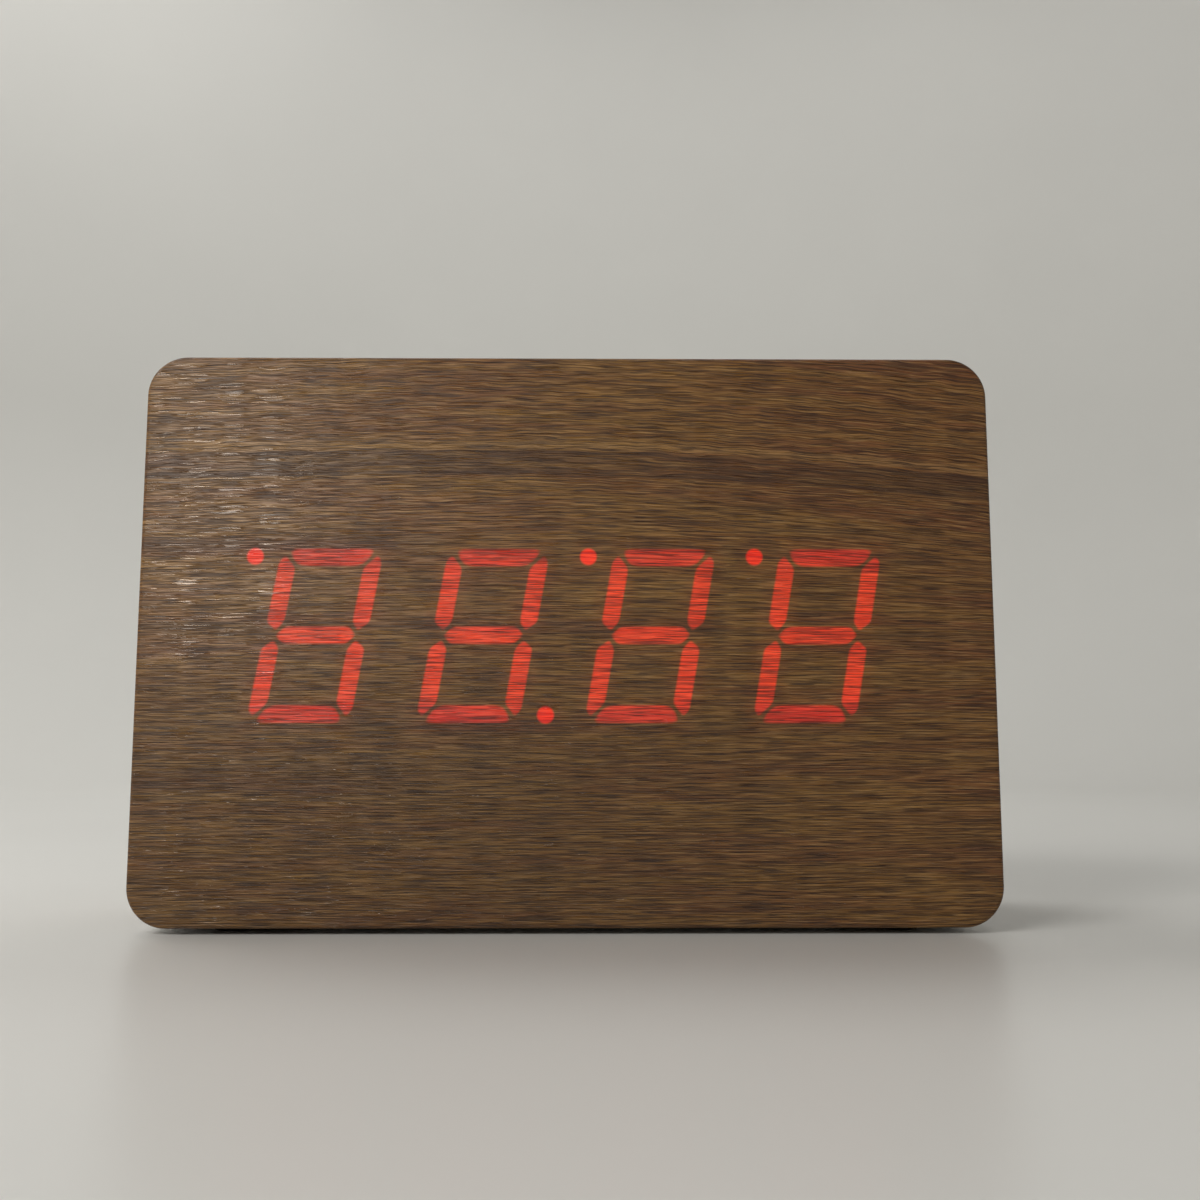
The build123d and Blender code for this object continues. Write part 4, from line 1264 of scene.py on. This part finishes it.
@dataclass
class RearPanel:
    """The black panel with its screws, controls, socket and printed marks."""

    buttons: int = 3
    mark_height: float = 2.6 * MM
    mark_thickness: float = 0.06 * MM
    mark_gap: float = 2.0 * MM
    off_gap: float = 2.8 * MM
    letter_size: float = 3.12 * MM

    def __post_init__(self) -> None:
        """Reads the panel's outer face from the frame."""
        _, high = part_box("rear_panel")
        self.face_y = high.y

    def build(self) -> None:
        """Dresses the panel and prints its marks."""
        dress(Finish.PANEL, "rear_panel")
        dress(Finish.BLACK_STEEL, "panel_screws")
        dress(Finish.GLOSS_BLACK, "power_socket")
        dress(Finish.BRASS, "socket_pin")
        dress(Finish.BUTTON, "switch_knob", *numbered("button_cap", self.buttons))
        self.marks()

    def marks(self) -> None:
        """Prints the marks beside the controls."""
        form = bmesh.new()
        self._arrow(form, *self._above("button_cap_1"), up=True)
        self._arrow(form, *self._above("button_cap_2"), up=False)
        self._word(form, "SET", *self._above("button_cap_3"))
        low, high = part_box("slide_switch")
        middle_z = (low.z + high.z) / 2
        self._word(form, "ON", high.x + self.mark_gap, middle_z)
        self._word(form, "OFF", low.x - self.off_gap, middle_z)
        new_piece("panel_marks", form, [Finish.PRINT])

    def _above(self, control: str) -> Span:
        """Place along X and height of a mark above a control."""
        low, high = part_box(control)
        return (low.x + high.x) / 2, high.z + self.mark_gap + self.mark_height / 2

    def _arrow(self, form: bmesh.types.BMesh, x: float, z: float, up: bool) -> None:
        """Adds a triangle that points up or down.

        Args:
            form: The marks' form.
            x: Its place along X.
            z: Its height.
            up: Whether it points up.
        """
        verts = bmesh.ops.create_circle(form, cap_ends=True, segments=3, radius=self.mark_height / 2)["verts"]
        turn = Matrix.Rotation(0.0 if up else math.pi, 4, "Y") @ Matrix.Rotation(math.pi / 2, 4, "X")
        bmesh.ops.transform(form, matrix=Matrix.Translation((x, self.face_y, z)) @ turn, verts=verts)
        self._thicken(form, verts)

    def _word(self, form: bmesh.types.BMesh, text: str, x: float, z: float) -> None:
        """Adds a word that reads from behind.

        Args:
            form: The marks' form.
            text: The word.
            x: Its middle along X.
            z: Its height.
        """
        curve = bpy.data.curves.new("word", "FONT")
        curve.body, curve.size = text, self.letter_size
        curve.align_x = curve.align_y = "CENTER"
        writer = bpy.data.objects.new("word", curve)
        flat = bpy.data.meshes.new_from_object(writer)
        flat.transform(Matrix(((-1, 0, 0, x), (0, 0, 1, self.face_y), (0, 1, 0, z), (0, 0, 0, 1))))
        before = len(form.verts)
        form.from_mesh(flat)
        form.verts.ensure_lookup_table()
        self._thicken(form, form.verts[before:])
        bpy.data.objects.remove(writer)
        bpy.data.curves.remove(curve)
        bpy.data.meshes.remove(flat)

    def _thicken(self, form: bmesh.types.BMesh, verts: Sequence) -> None:
        """Gives a flat mark its thickness, away from the panel.

        Args:
            form: The marks' form.
            verts: The mark's vertices.
        """
        bmesh.ops.remove_doubles(form, verts=verts, dist=TOUCH)
        chosen = {vert for vert in verts if vert.is_valid}
        faces = [face for face in form.faces if all(vert in chosen for vert in face.verts)]
        made = bmesh.ops.extrude_face_region(form, geom=faces)
        raised = [item for item in made["geom"] if isinstance(item, bmesh.types.BMVert)]
        bmesh.ops.translate(form, vec=(0.0, self.mark_thickness, 0.0), verts=raised)
        bmesh.ops.recalc_face_normals(form, faces=form.faces[:])


@dataclass
class BatteryBay:
    """The cells, their springs and contacts, and the door."""

    cells: int = 4
    nub_length: float = 1.0 * MM
    nub_radius: float = 1.9 * MM
    band_length: float = 7.0 * MM
    lip: float = 0.45 * MM
    steps: int = 48

    def build(self) -> None:
        """Builds the cells and dresses the rest."""
        dress(Finish.SPRING_STEEL, "battery_springs", "battery_contacts")
        dress(Finish.LEAD_BLACK, "battery_lead_low")
        dress(Finish.LEAD_RED, "battery_lead_high")
        dress(Finish.DOOR, "battery_door")
        for number in range(1, self.cells + 1):
            self.cell(number)

    def cell(self, number: int) -> None:
        """Makes a cell: steel can, shrink sleeve with a pale band, top ring and nub.

        Args:
            number: Which cell it is, from 1.
        """
        low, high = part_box(f"battery_{number}")
        start = (low + high) / 2
        radius, length = (high.z - low.z) / 2, high.x - low.x
        way = 1.0 if number % 2 == 0 else -1.0
        start.x = low.x if way > 0 else high.x
        shoulder, lip = length - self.nub_length, self.lip
        profile = [
            (0.25 * lip, 0.0),
            (0.25 * lip, radius - 2.4 * lip),
            (0.0, radius - 2.0 * lip),
            (0.0, radius - 1.2 * lip),
            (0.3 * lip, radius - 0.3 * lip),
            (1.1 * lip, radius),
            (shoulder - self.band_length, radius),
            (shoulder - 1.1 * lip, radius),
            (shoulder - 0.3 * lip, radius - 0.35 * lip),
            (shoulder, radius - 1.2 * lip),
            (shoulder, radius - 2.2 * lip),
            (shoulder - 0.5 * lip, radius - 2.8 * lip),
            (shoulder - 0.5 * lip, self.nub_radius + 0.6 * lip),
            (shoulder, self.nub_radius + 0.2 * lip),
            (length - 0.5 * lip, self.nub_radius),
            (length, self.nub_radius - 0.5 * lip),
            (length, 0.0),
        ]
        form = turned(profile, start, (way, 0.0, 0.0), self.steps)
        finishes = [Finish.SLEEVE, Finish.SLEEVE_BAND, Finish.SPRING_STEEL, Finish.SLEEVE_RING]
        for face in form.faces:
            place = face.calc_center_median() - start
            along, out = place.x * way, math.hypot(place.y, place.z)
            finish = Finish.SLEEVE_BAND if along > shoulder - self.band_length else Finish.SLEEVE
            if out < radius - 1.4 * lip:
                steel = out < self.nub_radius + 0.6 * lip or along < lip
                finish = Finish.SPRING_STEEL if steel else Finish.SLEEVE_RING
            face.material_index = finishes.index(finish)
        new_piece(f"cell_{number}", form, finishes, f"battery_{number}")


@dataclass(frozen=True)
class SoftLight:
    """A soft rectangular light that no camera sees."""

    name: str
    place: Point
    aim: Point
    size: Span
    power: float
    tint: Point

    def build(self) -> bpy.types.Object:
        """Adds the light.

        Returns:
            Its object.
        """
        data = bpy.data.lights.new(self.name, "AREA")
        data.shape = "RECTANGLE"
        data.size, data.size_y = self.size
        data.energy = self.power
        data.color = self.tint
        lamp = new_object(self.name, data)
        lamp.location = self.place
        lamp.rotation_mode = "QUATERNION"
        lamp.rotation_quaternion = (Vector(self.aim) - Vector(self.place)).to_track_quat("-Z", "Y")
        lamp.visible_camera = False
        return lamp


@dataclass
class Studio:
    """Plain pale ground, soft light and the photograph's view."""

    floor_radius: float = 0.62
    cove_radius: float = 0.34
    wall_height: float = 1.0
    cove_steps: int = 16
    turn_steps: int = 128
    lens: float = 36.0
    sensor: float = 36.0
    clip: Span = (0.01, 10.0)
    camera_place: Point = (0.00366, -0.23128, 0.03294)
    pitch: float = 6.63
    yaw: float = -0.559
    window: SoftLight = SoftLight(
        "window", (-0.38, -0.38, 0.44), CLOCK_MIDDLE, (0.32, 0.32), 2.15, (1.0, 0.985, 0.955)
    )
    strip: SoftLight = SoftLight(
        "strip", (-0.38, -0.78, 0.23), CLOCK_MIDDLE, (0.17, 0.56), 6.4, (1.0, 0.91, 0.81)
    )
    ceiling: SoftLight = SoftLight(
        "ceiling", (-0.6, 0.4, 1.05), (-0.4, 0.45, 0.0), (0.5, 0.8), 5.2, (1.0, 0.99, 0.965)
    )
    behind: SoftLight = SoftLight(
        "behind", (0.2, 0.5, 1.0), (0.15, 0.3, 0.0), (0.4, 0.4), 1.3, (1.0, 0.985, 0.955)
    )
    air_light: float = 0.09

    def build(self) -> None:
        """Builds the camera, the ground, the lights and the air."""
        self.camera()
        ground = self.ground()
        self.window.build()
        self.gloss(ground)
        self.ceiling.build()
        self.behind.build()
        world = bpy.data.worlds.new("studio_air")
        bpy.context.scene.world = world
        world.use_nodes = True
        background = world.node_tree.nodes["Background"]
        background.inputs["Color"].default_value = grey(1.0)
        background.inputs["Strength"].default_value = self.air_light
        settings = bpy.context.scene.view_settings
        settings.view_transform = "Standard"
        settings.look = "None"

    def camera(self) -> None:
        """Adds the camera at the photograph's angle."""
        data = bpy.data.cameras.new("camera")
        data.lens, data.sensor_width = self.lens, self.sensor
        data.clip_start, data.clip_end = self.clip
        camera = new_object("camera", data)
        camera.location = self.camera_place
        camera.rotation_euler = (math.radians(90.0 + self.pitch), 0.0, math.radians(self.yaw))
        bpy.context.scene.camera = camera

    def ground(self) -> bpy.types.Object:
        """Makes a round floor that curves up into a wall on all sides.

        Returns:
            Its object.
        """
        profile = [(0.0, 0.0), (0.0, self.floor_radius)]
        for step in range(1, self.cove_steps + 1):
            angle = math.pi / 2 * step / self.cove_steps
            up = self.cove_radius * (1 - math.cos(angle))
            profile.append((up, self.floor_radius + self.cove_radius * math.sin(angle)))
        profile.append((self.wall_height, self.floor_radius + self.cove_radius))
        form = turned(profile, (0.0, 0.0, 0.0), (0.0, 0.0, 1.0), self.turn_steps)
        if sum(face.normal.z for face in form.faces) < 0:
            bmesh.ops.reverse_faces(form, faces=form.faces[:])
        ground = new_object("ground", smooth_mesh("ground", form, [Finish.GROUND]))
        ground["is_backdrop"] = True
        return ground

    def gloss(self, ground: bpy.types.Object) -> None:
        """Adds the strip, whose light shows only as gloss on the clock.

        Args:
            ground: The ground, which it spares.
        """
        strip = self.strip.build()
        strip.visible_diffuse = False
        spared = bpy.data.collections.new("spared_by_strip")
        spared.objects.link(ground)
        spared.collection_objects[0].light_linking.link_state = "EXCLUDE"
        strip.light_linking.receiver_collection = spared


def write_sizes() -> None:
    """Works out the CAD model's box and the dressed clock's box."""
    boxes = {"cad": CAD_BOX, "visual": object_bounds()}
    {name: [list(corner) for corner in box] for name, box in boxes.items()}


def main() -> None:
    """Builds the studio, then every sub-assembly."""
    logging.basicConfig(level=logging.INFO, format="%(name)s: %(message)s")
    for part in (Studio(), Case(), Display(), Electronics(), RearPanel(), BatteryBay()):
        LOG.info("building %s", type(part).__name__)
        part.build()
    write_sizes()


if __name__ == "__main__":
    main()
